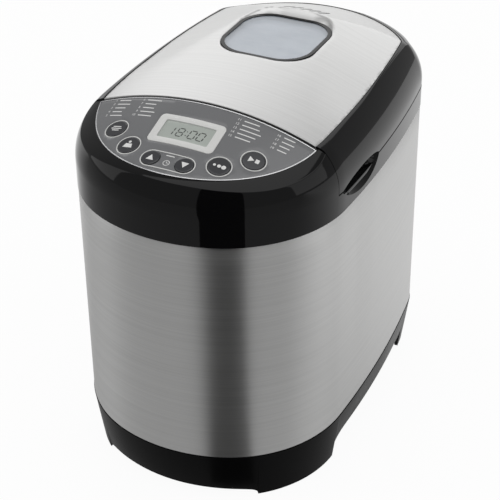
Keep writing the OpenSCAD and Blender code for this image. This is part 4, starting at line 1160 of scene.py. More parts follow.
@dataclass
class Wrap:
    """The brushed steel sheet round the body, with its cooling slots at the rear."""

    form: Form
    dress: Dresser
    low: float = 0.046
    high: float = 0.240
    inset: float = 0.0005
    sheet: float = 0.0008
    rim: tuple[float, float] = (0.0002, 0.0003)
    slot: tuple[float, float] = (0.024, 0.003)
    slot_x: float = 0.024
    slot_low: float = 0.024
    slot_pitch: float = 2.2
    slots: int = 7

    def build(self) -> None:
        """Builds the sheet as a band and leaves its slots out of the grid."""
        plan = self.form.plan
        pitch = self.slot_pitch * self.slot[1]
        first = self.low + self.slot_low
        levels = [self.low, self.low + self.rim[1]]
        for i in range(self.slots):
            middle = first + i * pitch
            levels += [middle - self.slot[1] / 2, middle + self.slot[1] / 2]
        levels += list(np.linspace(levels[-1], self.high - 0.0004, 8))[1:] + [self.high]
        edges = [self._turn_at_x(self.slot_x + s * self.slot[0] / 2) for s in (-1, 1)]
        turns = np.unique(np.concatenate([plan.turns(), edges]))
        open_turn = (turns[:-1] >= edges[1] - 1e-9) & (turns[1:] <= edges[0] + 1e-9)
        rims = (levels[0], levels[-1])
        outer = [self._row(turns, self.inset + (self.rim[0] if z in rims else 0.0), z) for z in levels]
        inner = [self._row(turns, self.inset + self.sheet, z) for z in levels]
        half, across = len(turns), 2 * len(turns) - 2
        skin = Skin()
        skin.add(np.concatenate(outer + inner), [])
        back = len(levels) * across
        solid = {}
        for r in range(len(levels) - 1):
            height = (levels[r] + levels[r + 1]) / 2
            vent = any(abs(height - first - i * pitch) < 1e-6 for i in range(self.slots))
            for i in range(across):
                k = i if i < half - 1 else across - 1 - i
                solid[r, i] = not (vent and open_turn[k])
        faces = []
        for (r, i), full in solid.items():
            j, a, b = (i + 1) % across, r * across, (r + 1) * across
            if full:
                faces.append((a + i, a + j, b + j, b + i))
                faces.append((back + b + i, back + b + j, back + a + j, back + a + i))
            sides = (
                ((r - 1, i), (a + i, a + j)), ((r + 1, i), (b + j, b + i)),
                ((r, (i - 1) % across), (b + i, a + i)), ((r, j), (a + j, b + j)),
            )
            for other, (p, q) in sides:
                if full and not solid.get(other, False):
                    faces.append((q, p, back + p, back + q))
        skin.faces = faces
        self.dress.piece("steel_skin", skin, "body", WRAP_STEEL, ["steel_wrap"])

    def _turn_at_x(self, x: float) -> float:
        """The turn at the rear where the sheet is that far from the middle."""
        arc = self.form.plan.arcs[-1]
        return math.pi - math.acos(-x / (arc.radius - self.inset))

    def _row(self, turns: np.ndarray, inset: float, z: float) -> np.ndarray:
        """One closed row of points round the body."""
        place = self.form.plan.at(turns, inset)
        right = np.column_stack([place, np.full(len(turns), z)])
        return np.concatenate([right, mirrored(right)[-2:0:-1]])


@dataclass
class Notch:
    """The finger recess at each side: a deep scoop in the collar under a low arch in the lid."""

    form: Form
    y: float = -0.043
    length: float = 0.074
    depth: float = 0.008
    slope: float = 1.5
    behind: float = 0.0095
    reach: float = 0.036
    taper: float = 0.004
    over: float = 0.004
    margin: float = 0.0002
    curve: tuple[tuple[float, float], ...] = ((-0.035, 0.0), (-0.017, 0.0175), (0.024, 0.0185), (0.0335, 0.0))

    def backing(self, turn: np.ndarray) -> np.ndarray:
        """How much thicker the wall behind the recess is at each turn."""
        y = self.form.plan.at(turn, 0.0)[:, 1]
        return self.behind * np.clip((self.reach - np.abs(y - self.y)) / self.taper, 0.0, 1.0)

    def cutter(self, side: int, z: float, way: float) -> bpy.types.Object:
        """The cutter of one half of the recess.

        Args:
            side: 1 for the right side, -1 for the left.
            z: Height of the seam between the collar and the lid.
            way: Height of the scoop as a share of the curve's, negative below the seam.

        Returns:
            The cutter, open towards the side and across the seam.
        """
        a, b, c, d = (np.array(point) * np.array([1.0, way]) for point in self.curve)
        s = np.linspace(0, 1, 30)[:, None]
        scoop = (1 - s) ** 3 * a + 3 * s * (1 - s) ** 2 * b + 3 * s * s * (1 - s) * c + s**3 * d
        lift = np.array([0.0, -self.over * math.copysign(1.0, way)])
        shape = np.concatenate([scoop, [d + lift, a + lift]]) + np.array([self.y, z])
        side_points = self.form.plan.at(np.linspace(-1.2, 0.6, 400), np.zeros(400))

        def lay(p: np.ndarray, up: float) -> np.ndarray:
            """Places the cutter's outer face outside the body and its back face on the scoop."""
            surface = np.interp(p[:, 0], side_points[:, 1], side_points[:, 0])
            along = np.clip((p[:, 0] - self.y) / (self.length / 2), -1.0, 1.0)
            depth = np.minimum(self.depth * np.sqrt(1 - along**2), self.slope * distance_to(p, shape))
            x = surface + self.over if up > 0 else surface + self.margin - depth
            return np.column_stack([side * x, p[:, 0], p[:, 1]])

        return Sheet(shape, (), 1e-5, 0.0016).skin(lay, 1.0, -1.0).object("notch")


@dataclass
class Housing:
    """The gloss top housing: collar with finger notches, deck, and rounded front."""

    form: Form
    notch: Notch
    dress: Dresser
    low: float = 0.240
    collar_top: float = 0.2576
    wall: float = 0.003
    deck: tuple[float, float] = (0.2495, 0.252)
    deck_front: float = -0.086
    deck_hole: tuple[float, float, float] = (0.0852, 0.0892, 0.0312)
    rim_round: float = 0.0013
    panel_r: float = 0.0921
    panel_y: float = -0.0629
    line: float = 0.0008
    line_gap: float = 0.0001
    rear_band: float = 0.0018
    panel_depth: float = 0.0025
    ledge: float = 0.004
    oven_y: float = 0.035
    wall_half: tuple[float, float] = (0.094, 0.1025)
    wall_t: float = 0.0029

    def build(self) -> None:
        """Builds the three parts of the housing."""
        collar = self._collar()
        skin = Skin()
        self._front(skin)
        deck_hole = rounded_loop(*self.deck_hole, (0.0, self.oven_y), steps=12)
        deck = Sheet(self._outline(0.002, self.deck_front), [deck_hole], 0.0002, 0.03)
        flat = lambda p, up: np.column_stack([p, np.full(len(p), self.deck[1] + up)])
        level = deck.skin(flat, 0.0, self.deck[0] - self.deck[1])
        for part in (level, self._front_wall(), self._rear_band()):
            skin.join(part)
        self.dress.piece("front_shell", skin, "body", GLOSS_BLACK, ["top_housing"])
        self.dress.piece("collar", collar, "body", GLOSS_BLACK)

    def _outline(self, inset: float, cut_y: float) -> np.ndarray:
        """The outline behind a cut, as a loop."""
        plan = self.form.plan
        start = plan.turn_at(cut_y, lambda turn: np.full_like(turn, inset))
        turns = np.append([start], plan.turns()[plan.turns() > start + 1e-3])
        right = plan.at(turns, inset)
        return np.concatenate([right, mirrored(right)[-2::-1]])

    def _collar(self) -> bpy.types.Object:
        """The band under the lid, thickened behind each finger notch and cut by it."""
        cut, depth = self.form.split_y, lambda turn: self.wall + self.notch.backing(turn)
        shape = [
            *(Profile.level(0.0, z) for z in np.linspace(self.low + 0.0003, self.collar_top - 0.0005, 8)),
            Profile.level(0.0005, self.collar_top),
            Profile.level(depth, self.collar_top),
            Profile.level(depth, self.low),
            Profile.level(0.0003, self.low),
        ]
        skin = Skin()
        turns = self.form.plan.turns((20, 40, 110, 24, 40))
        skin.band(self.form.plan, shape, Stretch.REAR, cut, turns)
        collar = skin.object("collar")
        for side in (-1, 1):
            self.dress.carve(collar, self.notch.cutter(side, self.collar_top, -1.0))
        return collar

    def rear(self, grow: float) -> float:
        """Where the panel's outline, grown outwards, ends at the rear."""
        return self.form.split_y - self.rear_band - self.line + grow

    def _arc(self, grow: float, rear: float, steps: int) -> np.ndarray:
        """The right half of the panel's round edge, from the front to a rear line."""
        r = self.panel_r + grow
        a = np.linspace(-math.pi / 2, math.asin((rear - self.panel_y) / r), steps)
        return np.stack([r * np.cos(a), self.panel_y + r * np.sin(a)], 1)

    def panel_edge(self, grow: float, steps: int = 60) -> np.ndarray:
        """The right half of the panel's outline, from the front to its rear corner."""
        return self._arc(grow, self.rear(grow), steps)

    def _front(self, skin: Skin) -> None:
        """The rounded front, from the wrap up to the seat of the panel."""
        form, top = self.form, self.form.panel.height

        def rim(turn: np.ndarray, share: float = 1.0) -> tuple[np.ndarray, np.ndarray]:
            """Inset and height part of the way up to the rim."""
            return form.shoulder(form.rim_turn(turn, top) * share)

        starts = ((0.0003, self.low), (0.0, self.low + 0.0003), (0.0, form.shoulder_z))
        lines = [Profile.level(inset, z) for inset, z in starts]
        for share in np.linspace(0, NEAR_RIM, 18)[1:]:
            lines.append(Profile(lambda t, s=share: rim(t, s)[0], lambda t, p, s=share: rim(t, s)[1]))
        for s in np.linspace(0, 1, 6)[1:]:
            lines.append(self._fillet(rim, top, s))
        rows = self._rows(lines)
        skin_rows = rows + self._seat_rows(len(rows[0]))
        inner = [
            Profile(lambda t: rim(t)[0] + self.wall + 0.003, lambda t, p: top(p[:, 0], p[:, 1]) - 0.006),
            Profile(lambda t: rim(t, 0.6)[0] + self.wall, lambda t, p: rim(t, 0.6)[1]),
            Profile.level(self.wall, form.shoulder_z),
            Profile.level(self.wall, self.low),
        ]
        skin.grid(skin_rows + self._rows(inner), False, True)

    def _fillet(self, rim: Callable[..., tuple[np.ndarray, np.ndarray]], top: Heights, s: float) -> Profile:
        """A line of the rounded edge between the shoulder and the top."""

        def inset(turn: np.ndarray) -> np.ndarray:
            """The inset part of the way round the edge."""
            a, b = rim(turn, NEAR_RIM)[0], rim(turn)[0]
            return bend(a, b, b + self.rim_round, s)

        def height(turn: np.ndarray, place: np.ndarray) -> np.ndarray:
            """The height part of the way round the edge."""
            a, b = rim(turn, NEAR_RIM)[1], rim(turn)[1]
            return bend(a, b, top(place[:, 0], place[:, 1]), s)

        return Profile(inset, height)

    def _rows(self, lines: Sequence[Profile]) -> list[np.ndarray]:
        """Rows of the front stretch, each ending at the split."""
        holder = Skin()
        rows = []
        for line in lines:
            holder.points.clear()
            holder.faces.clear()
            holder.band(self.form.plan, [line, line], Stretch.FRONT, self.form.split_y)
            rows.append(np.array(holder.points[: len(holder.points) // 2]))
        return rows

    def _seat_rows(self, count: int) -> list[np.ndarray]:
        """Rows round the seat of the panel: its edge, its wall and its ledge."""
        steps = count // 2 + 1
        rows = []
        near, soft = self.line + self.line_gap, 0.00025
        for grow, drop in (
            (near + soft, 0.0), (near, soft), (near, self.panel_depth),
            (-self.ledge, self.panel_depth), (-self.ledge, self.panel_depth + 0.003),
        ):
            right = self._arc(grow, self.form.split_y if grow > 0 else self.rear(grow), steps)
            z = self.form.panel.height(right[:, 0], right[:, 1]) - drop
            full = np.column_stack([right, z])
            rows.append(np.concatenate([mirrored(full)[::-1], full[1:]]))
        return rows

    def _rear_band(self) -> Skin:
        """The narrow black land between the bright line and the lid."""
        grow = self.line + self.line_gap
        ends = [self._arc(grow, y, 2)[-1] for y in (self.rear(grow), self.form.split_y)]
        right = np.array(ends)
        loop = np.concatenate([right, mirrored(right)[::-1]])
        seat = over(self.form.panel.height)
        return Sheet(loop, (), 0.0002, 0.003).skin(seat, 0.0, -self.panel_depth - 0.001)

    def _front_wall(self) -> Skin:
        """The wall between the control compartment and the oven."""
        y = self.form.split_y
        inner, outer = self.wall_half
        x = np.linspace(-inner, inner, 60)
        top = self.form.panel.height(x, np.full_like(x, y)) - self.panel_depth
        upper = np.stack([x, top], 1)[::-1]
        side = np.array([[-outer, self.form.shoulder_z], [-outer, self.deck[0]]])
        loop = np.concatenate([upper, side, mirrored(side)[::-1]])
        return Sheet(loop, (), 0.0001, 0.02).skin(upright(y), -0.0001, -0.0001 - self.wall_t)


@dataclass
class Panel:
    """The control panel with its bright line, display, key rings and printing."""

    form: Form
    housing: Housing
    dress: Dresser
    thickness: float = 0.0025
    trim_out: float = 0.0004
    key_r: float = 0.0084
    key_gap: float = 0.0003
    ring: float = 0.0008
    time_r: float = 0.0069
    time_x: float = 0.0136
    time_v: float = -0.0633
    pill: tuple[float, float] = (0.0218, 0.0082)
    display: tuple[float, float] = (0.027, 0.0145)
    glass: tuple[float, float] = (0.0205, 0.009)
    display_v: float = -0.0326
    ink: float = 0.00006
    keys: dict[str, tuple[float, float]] = field(
        default_factory=lambda: {
            "menu": (-0.0563, -0.0391),
            "weight": (-0.0369, -0.0548),
            "colour": (0.0369, -0.0548),
            "start": (0.0563, -0.0391),
        }
    )

    def lay(self, p: np.ndarray, up: float) -> np.ndarray:
        """Places points drawn across and along the slope of the panel."""
        return self.form.panel.lay(p[:, 0], p[:, 1], up)

    def on_key(self, centre: Sequence[float], top: float) -> Lay:
        """Lays a mark on the flat top of a key."""
        at = self.form.panel.frame_at(*centre)
        turn, shift = np.array(at.to_3x3()), np.array(at.translation)

        def lay(p: np.ndarray, up: float) -> np.ndarray:
            """Places points drawn about the key's middle."""
            return np.column_stack([p, np.full(len(p), top + up)]) @ turn.T + shift

        return lay

    def outline(self, grow: float, steps: int = 90) -> np.ndarray:
        """The panel's outline across and along the slope, as a loop."""
        right = self.housing.panel_edge(grow, steps)
        right = right[right[:, 0] > 1e-9]
        rear_x = np.linspace(right[-1, 0], 0.0, 30, endpoint=False)[1:]
        rear = np.stack([rear_x, np.full(len(rear_x), right[-1, 1])], 1)
        half = np.concatenate([right, rear])
        front, back = np.array([[0.0, self.housing.panel_edge(grow)[0, 1]]]), np.array([[0.0, right[-1, 1]]])
        loop = np.concatenate([front, half, back, mirrored(half)[::-1]])
        return np.stack([loop[:, 0], self.form.panel.along(loop[:, 0], loop[:, 1])], 1)

    def build(self) -> None:
        """Builds the panel and everything that lies on it."""
        gap = self.key_gap
        holes = [circle_loop(self.key_r + gap + self.ring, c) for c in self.keys.values()]
        times = [(s * self.time_x, self.time_v) for s in (-1, 1)]
        holes += [circle_loop(self.time_r + gap, c, 48) for c in times]
        frame_hole = rounded_loop(*self.display, 0.004, (0.0, self.display_v))
        panel = Sheet(self.outline(0.0), [*holes, frame_hole], 0.0002, 0.003)
        skin = panel.skin(self.lay, 0.0, -self.thickness)
        self.dress.piece("panel_face", skin, "body", PANEL_FILM, ["control_panel"])
        trim = Sheet(self.outline(self.housing.line), [self.outline(0.0)], 0.0002, 0.004)
        skin = trim.skin(self.lay, self.trim_out, -self.thickness)
        self.dress.piece("bright_line", skin, "body", TRIM, ["panel_trim"])
        self._rings()
        self._display()
        self._marks()

    def _rings(self) -> None:
        """The pale rings round the keys, and the long one round the time keys."""
        skin = Skin()
        for c in self.keys.values():
            r = self.key_r + self.key_gap
            ring = Sheet(circle_loop(r + self.ring, c), [circle_loop(r, c)], 0.0001, 0.004)
            skin.join(ring.skin(self.lay, 0.0002, -self.thickness))
        w, l = self.pill
        centre = (0.0, self.time_v)
        outer = rounded_loop(w, l, l - 1e-4, centre, steps=24)
        inner = rounded_loop(w - self.ring, l - self.ring, l - self.ring - 1e-4, centre, steps=24)
        skin.join(Sheet(outer, [inner], 0.0001, 0.004).skin(self.lay, 0.0002, 0.0))
        self.dress.piece("key_rings", skin, "body", OFF_WHITE, ["button_bezels"])

    def _display(self) -> None:
        """The display's pale frame, its face and its digits."""
        centre = (0.0, self.display_v)
        outer = rounded_loop(self.display[0] - 1e-4, self.display[1] - 1e-4, 0.004, centre)
        inner = rounded_loop(*self.glass, 0.0012, centre)
        surround = Sheet(outer, [inner], 0.0003, 0.003)
        skin = surround.skin(self.lay, 0.0003, -self.thickness)
        self.dress.piece("display_surround", skin, "body", OFF_WHITE, ["display_frame"])
        w, h = self.glass
        face = Sheet(rounded_loop(w - 1e-4, h - 1e-4, 0.0011, centre), (), 0.0001, 0.004)
        skin = face.skin(self.lay, -0.0004, -self.thickness - 0.001)
        self.dress.piece("display_face", skin, "body", DISPLAY, ["display_glass"])
        digits = Skin()
        for x, lit in ((-0.0125, "bc"), (-0.0045, "abcdefg"), (0.0052, "abcdef"), (0.0122, "abcdef")):
            self._digit(digits, x, lit)
        for v in (-0.0019, 0.0019):
            dot = circle_loop(0.00045, (0.0004, self.display_v - 0.001 + v), 12)
            self._mark(digits, dot, self.lay, -0.0004)
        self.dress.piece("display_digits", digits, "body", DARK_PRINT)

    def _digit(self, skin: Skin, x: float, lit: str) -> None:
        """One seven-segment digit, leaning a little."""
        w, h, t = 0.0024, 0.0040, 0.00042
        places = {
            "a": (0, h, 0), "g": (0, 0, 0), "d": (0, -h, 0),
            "b": (w, h / 2, 1), "c": (w, -h / 2, 1), "e": (-w, -h / 2, 1), "f": (-w, h / 2, 1),
        }
        for name in lit:
            dx, dy, upright = places[name]
            half = (t, h / 2 - 1.25 * t) if upright else (w - 1.25 * t, t)
            bar = rounded_loop(*half, 0.6 * t, (dx, dy), steps=2)
            bar[:, 0] += 0.12 * bar[:, 1] + x
            bar[:, 1] += self.display_v - 0.001
            self._mark(skin, bar, self.lay, -0.0004)

    def _mark(self, skin: Skin, loop: np.ndarray, lay: Lay, level: float = 0.0,
              holes: Sequence[np.ndarray] = ()) -> None:
        """Adds one printed mark, a thin layer of ink on a surface."""
        skin.join(Sheet(loop, holes, 0.00001, 0.003).skin(lay, level + self.ink, level))

    def _bar(self, skin: Skin, half_w: float, half_l: float, r: float, centre: Sequence[float],
             level: float = 0.0) -> None:
        """Adds one printed bar with round ends to the face of the panel."""
        self._mark(skin, rounded_loop(half_w, half_l, r, centre, steps=2), self.lay, level)

    def _marks(self) -> None:
        """Numbers of the programs with a plain rule after each, and signs on the keys."""
        skin = Skin()
        columns = (
            (-0.0735, -0.0075, range(1, 6), 0.0115), (-0.0490, -0.0060, range(6, 11), 0.0125),
            (0.0325, -0.0075, range(11, 16), 0.0165), (0.0640, -0.0090, range(16, 20), 0.0095),
        )
        for x, v, numbers, length in columns:
            for row, number in enumerate(numbers):
                at = v - row * 0.0042
                self._number(skin, str(number), x, at)
                long = length * (0.72 + 0.28 * math.sin(2.3 * number) ** 2)
                self._bar(skin, long / 2, 0.00045, 0.0002, (x + 0.0024 + long / 2, at))
        for k in range(3):
            self._bar(skin, 0.0016, 0.0004, 0.0002, ((k - 1) * 0.014, self.display_v + 0.0117), 0.0003)
        self._bar(skin, 0.0034, 0.0004, 0.0002, (0.0, self.time_v + 0.0052))
        clock = (0.0, self.time_v - 0.0018)
        self._mark(skin, circle_loop(0.0026, clock, 32), self.lay, 0.0, [circle_loop(0.0021, clock, 32)])
        self._bar(skin, 0.0002, 0.0008, 0.0001, (clock[0], clock[1] + 0.0007))
        self._bar(skin, 0.0007, 0.0002, 0.0001, (clock[0] + 0.0006, clock[1]))
        self.dress.piece("panel_print", skin, "body", WHITE_PRINT)
        self._key_signs()

    def _key_signs(self) -> None:
        """A plain sign on each key, riding on it."""
        top = 0.0007
        centres = {"time_up": (-self.time_x, self.time_v), "time_down": (self.time_x, self.time_v)}
        centres.update(self.keys)
        triangle = np.array([(-0.0030, -0.0024), (0.0030, -0.0024), (0.0, 0.0028)])
        weight = np.array([(-0.0038, -0.0028), (0.0038, -0.0028), (0.0026, 0.0012), (-0.0026, 0.0012)])
        arrow = np.array([(-0.0038, -0.0026), (0.0004, 0.0), (-0.0038, 0.0026)])
        rows = ((0.0036, 0.0019), (0.0046, 0.0), (0.0030, -0.0019))
        signs: dict[str, list[np.ndarray]] = {
            "time_up": [triangle],
            "time_down": [triangle * np.array([1.0, -1.0])],
            "menu": [rounded_loop(w, 0.00045, 0.0002, (0.0, y), steps=2) for w, y in rows],
            "weight": [weight, circle_loop(0.0012, (0.0, 0.0030), 20)],
            "colour": [circle_loop(0.0011 + 0.00035 * k, (-0.0036 + 0.0036 * k, 0.0), 20) for k in range(3)],
            "start": [arrow, rounded_loop(0.0015, 0.0018, 0.0003, (0.0028, 0.0), steps=2)],
        }
        for key, loops in signs.items():
            skin = Skin()
            for loop in loops:
                self._mark(skin, loop, self.on_key(centres[key], top))
            self.dress.piece(f"sign_{key}", skin, f"key_{key}", WHITE_PRINT)

    def _number(self, skin: Skin, text: str, x: float, v: float, size: float = 0.0030) -> None:
        """A plain number, right-aligned at a place on the panel."""
        curve = bpy.data.curves.new("number", "FONT")
        curve.body = text
        curve.size = size
        curve.align_x = "RIGHT"
        curve.align_y = "CENTER"
        curve.resolution_u = 3
        holder = bpy.data.objects.new("number", curve)
        bpy.context.scene.collection.objects.link(holder)
        bpy.context.view_layer.update()
        mesh = bpy.data.meshes.new_from_object(holder.evaluated_get(bpy.context.evaluated_depsgraph_get()))
        bpy.data.objects.remove(holder)
        bpy.data.curves.remove(curve)
        flat = np.array([(p.co.x + x, p.co.y + v) for p in mesh.vertices])
        faces = [tuple(f.vertices) for f in mesh.polygons]
        uses: dict[tuple[int, int], int] = {}
        for f in faces:
            for a, b in zip(f, f[1:] + f[:1]):
                uses[(a, b)] = uses.get((a, b), 0) + 1
        n = len(flat)
        walls = [(a, b, b + n, a + n) for (a, b) in uses if (b, a) not in uses]
        points = np.concatenate([self.lay(flat, 0.0), self.lay(flat, self.ink)])
        skin.add(points, [f[::-1] for f in faces] + [tuple(i + n for i in f) for f in faces] + walls)
        bpy.data.meshes.remove(mesh)


@dataclass
class Lid:
    """The lid: gloss frame, steel cover with its window and steam slots."""

    form: Form
    notch: Notch
    dress: Dresser
    arch: float = 0.45
    low: float = 0.258
    lip: float = 0.0005
    rim_round: float = 0.0011
    cover_in: float = 0.0185
    cover_t: float = 0.0015
    wall: float = 0.003
    ledge: float = 0.004
    window: tuple[float, float] = (0.0395, 0.026)
    window_y: float = 0.0373
    window_z: float = 0.3128
    drawn: float = 1.05
    hinge: tuple[float, float] = (0.157, 0.2624)
    hinge_x: float = 0.027
    knuckle_r: float = 0.0042
    knuckle_w: float = 0.0074
    pin_r: float = 0.0015
    pocket_w: float = 0.052
    pocket_half: tuple[float, float] = (0.0545, 0.0545)
    wall_half: tuple[float, float] = (0.1015, 0.0895)
    wall_top: float = 0.270
    steam: tuple[int, float, float, float] = (5, 0.0080, 0.0016, 0.0078)
    # Painted shade: black linings in the steam slots stand in for the dark inside them. These are their wall,
    # their gap to the slot and their depth.
    sleeve: float = 0.0004
    sleeve_gap: float = 0.00003
    sleeve_depth: float = 0.0042
    groove: float = 0.0004

    @property
    def front(self) -> float:
        """Where the lid starts, behind the split."""
        return self.form.split_y + self.form.split_gap

    @property
    def pocket_y(self) -> float:
        """The rear face of the lid between the hinges."""
        return self.hinge[0] - self.knuckle_r - 0.0003

    def build(self) -> None:
        """Builds the frame and the cover."""
        self._frame()
        self._cover()

    def _frame(self) -> None:
        """Sweeps the frame round the lid and cuts the pocket for the hinges."""
        form, plan, top = self.form, self.form.plan, self.form.lid_height
        lifted: Heights = lambda x, y: top(x, y) + self.lip

        def rim(turn: np.ndarray, share: float = 1.0) -> tuple[np.ndarray, np.ndarray]:
            """Inset and height part of the way up to the rim."""
            return form.shoulder(form.rim_turn(turn, lifted) * share)

        def on_top(inset: float, drop: float) -> Profile:
            """A line at an inset, so far below the lip."""
            return Profile.level(inset, lambda t, p: lifted(p[:, 0], p[:, 1]) - drop)

        def edge(s: float) -> Profile:
            """A line of the rounded edge between the shoulder and the lip."""
            def inset(t: np.ndarray) -> np.ndarray:
                """The inset part of the way round the edge."""
                a, b = rim(t, NEAR_RIM)[0], rim(t)[0]
                return bend(a, b, b + np.minimum(self.rim_round, 0.6 * (self.cover_in - b)), s)

            def height(t: np.ndarray, p: np.ndarray) -> np.ndarray:
                """The height part of the way round the edge."""
                a, b = rim(t, NEAR_RIM)[1], rim(t)[1]
                return bend(a, b, lifted(p[:, 0], p[:, 1]), s)

            return Profile(inset, height)

        seat, deep = self.cover_in - 0.00015, self.lip + self.cover_t
        inner: Insets = lambda t: self.wall + self.notch.backing(t)
        starts = ((0.0005, self.low), (0.0, self.low + 0.0005), (0.0, form.shoulder_z))
        lines = [Profile.level(inset, z) for inset, z in starts]
        for share in np.linspace(0, NEAR_RIM, 20)[1:]:
            lines.append(Profile(lambda t, s=share: rim(t, s)[0], lambda t, p, s=share: rim(t, s)[1]))
        lines += [edge(s) for s in np.linspace(0, 1, 5)[1:]]
        lines += [on_top(seat - inset, drop) for inset, drop in (
            (0.0003, 0.0), (0.0001, 0.0001), (0.0, 0.0004), (0.0, deep),
            (-self.ledge, deep), (-self.ledge, deep + 0.0025))]
        lines += [
            Profile(lambda t: rim(t)[0] + self.wall + 0.001,
                    lambda t, p: lifted(p[:, 0], p[:, 1]) - deep - 0.0025),
            Profile(lambda t: rim(t, 0.7)[0] + self.wall, lambda t, p: rim(t, 0.7)[1]),
            Profile.level(inner, form.shoulder_z + 0.004),
            Profile.level(inner, self.low),
        ]
        skin = Skin()
        skin.band(plan, lines, Stretch.REAR, self.front)
        made = skin.object("lid_shell")
        for side in (-1, 1):
            self.dress.carve(made, self.notch.cutter(side, self.low, self.arch))
        self.dress.carve(made, self._block(self.pocket_w, self.pocket_y, 0.2, 0.24, 0.34, "pocket"))
        self.dress.piece("lid_shell", made, "lid", GLOSS_BLACK, ["lid_frame"])
        self.dress.piece("lid_walls", self._walls(), "lid", GLOSS_BLACK)

    @staticmethod
    def _block(half: float, y0: float, y1: float, z0: float, z1: float, name: str) -> bpy.types.Object:
        """A plain cutting block."""
        skin = Skin()
        rows = [np.array([(-half, y, z), (half, y, z)]) for y, z in ((y0, z0), (y1, z0), (y1, z1), (y0, z1))]
        skin.grid(rows, False, True)
        return skin.object(name)

    def _walls(self) -> Skin:
        """The front wall, the wall of the hinge pocket and the two knuckles."""
        skin = Skin()
        for y, reach, half, way in ((self.front, *self.wall_half, 1), (self.pocket_y, *self.pocket_half, -1)):
            front = way > 0
            x = np.linspace(-1, 1, 60) * half
            high = self.form.lid_height(x, np.full_like(x, y)) - self.cover_t
            corners = [[-reach, self.low], [reach, self.low]]
            if front:
                corners = [[-reach, self.wall_top], *corners, [reach, self.wall_top]]
            else:
                high = np.minimum(high, self._dome_height(x, np.full_like(x, y))) - 0.0002
            loop = np.concatenate([np.stack([x, high], 1)[::-1], np.array(corners)])
            skin.join(Sheet(loop, (), 0.00005, 0.02).skin(upright(y, way), 0.0, self.wall))
        for side in (-1, 1):
            place = Matrix.Translation((side * self.hinge_x - self.knuckle_w / 2, *self.hinge))
            turned = place @ Matrix.Rotation(math.pi / 2, 4, "Y")
            w, r, bore, soft = self.knuckle_w, self.knuckle_r, self.pin_r + 0.00005, 0.0003
            rings = [(bore, 0.0), (r - soft, 0.0), (r, soft), (r, w - soft), (r - soft, w), (bore, w)]
            skin.lathe(rings, at=turned)
            x0, x1 = side * self.hinge_x - w / 2, side * self.hinge_x + w / 2
            y0, y1 = self.pocket_y - 0.0005, self.hinge[0] - 0.0022
            rows = [np.array([(x0, y, z), (x1, y, z)]) for y, z in
                    ((y0, 0.2584), (y1, 0.2594), (y1, 0.2654), (y0, 0.2664))]
            skin.grid(rows, False, True)
        return skin

    def _dome_height(self, x: np.ndarray, y: np.ndarray) -> np.ndarray:
        """The height of the shoulder above a place near the rear."""
        arc = self.form.plan.arcs[-1]
        inset = arc.radius - np.hypot(x - arc.centre[0], y - arc.centre[1])
        share = np.clip(1 - inset / self.form.shoulder_depth, -1.0, 1.0)
        return self.form.shoulder_z + self.form.shoulder_height * np.sqrt(1 - share**2)

    def _cover_height(self, x: np.ndarray, y: np.ndarray) -> np.ndarray:
        """The steel cover, drawn down round the window."""
        half, r = self.window
        dx = np.maximum(np.abs(x) - (half - r), 0.0)
        dy = np.maximum(np.abs(y - self.window_y) - (half - r), 0.0)
        away = np.hypot(dx, dy) - r
        bowl = self.window_z - 0.0006 + self.drawn * away
        return softer(self.form.lid_height(x, y), bowl, 0.0022)

    def _cover(self) -> None:
        """The steel sheet with the hole of the window and the steam slots."""
        plan = self.form.plan
        edge = self.cover_in + self.groove
        start = plan.turn_at(self.front, lambda turn: np.full_like(turn, edge))
        turns = np.append([start], plan.turns()[plan.turns() > start + 2e-3])
        right = plan.at(turns, edge)
        front_x = np.linspace(-right[0, 0], right[0, 0], 80)[1:-1]
        front = np.stack([front_x, np.full(len(front_x), self.front)], 1)
        outer = np.concatenate([right, mirrored(right)[-2::-1], front])
        half, r = self.window
        hole = rounded_loop(half + 0.0002, half + 0.0002, r + 0.0002, (0.0, self.window_y), steps=24)
        count, long, wide, pitch = self.steam
        slots = [
            rounded_loop(wide, long, wide - 1e-5, ((i - (count - 1) / 2) * pitch, self.form.brow_y + 0.015),
                         math.radians(-14), 6)
            for i in range(count)
        ]
        sheet = Sheet(outer, [hole, *slots], 0.00025, 0.0018)
        skin = sheet.skin(over(self._cover_height), 0.0, -self.cover_t)
        self.dress.piece("lid_plate", skin, "lid", LID_STEEL, ["lid_cover"])
        # Painted shade: satin-black linings on the slot walls darken the steam slots in place of the shade
        # inside them.
        slot_shade_linings = Skin()
        for slot in slots:
            outside = moved_in(slot, self.sleeve_gap)
            made = Sheet(outside, [moved_in(outside, self.sleeve)], 0.00005, 0.003)
            slot_shade_linings.join(made.skin(over(self._cover_height), -0.0002, -self.sleeve_depth))
        self.dress.piece("steam_slot_painted_shade", slot_shade_linings, "lid", SATIN_BLACK)


@dataclass
class Carried:
    """The CAD nodes that stay as they are and get their finish from their slot."""

    special: dict[str, Finish] = field(default_factory=lambda: {"drive_belt": BELT})

    def build(self) -> None:
        """Gives every node its finish."""
        slots = {row["node"]: row["material_slot"] for row in frame["record"]["subparts"]}
        for name, node in frame["nodes"].items():
            finish = self.special.get(name, SLOT_FINISH[slots[name]])
            if name.startswith("button_") and name != "button_bezels":
                finish = KEY_GLOSS
            node.data.materials.clear()
            node.data.materials.append(finish.material())
            log.info("node %s: %s", name, finish.name)


# ---------------------------------------------------------------- studio


@dataclass(frozen=True)
class Lamp:
    """A soft box, aimed at the machine."""

    name: str
    place: tuple[float, float, float]
    size: tuple[float, float]
    power: float
    target: tuple[float, float, float] = (0.0, 0.0, 0.16)

    def build(self) -> None:
        """Makes the lamp."""
        data = bpy.data.lights.new(self.name, "AREA")
        data.shape = "RECTANGLE"
        data.size, data.size_y = self.size
        data.energy = self.power
        made = bpy.data.objects.new(self.name, data)
        bpy.context.scene.collection.objects.link(made)
        made.location = self.place
        back = np.array(self.place) - np.array(self.target)
        made.rotation_euler = Matrix(aimed(back)).to_euler()


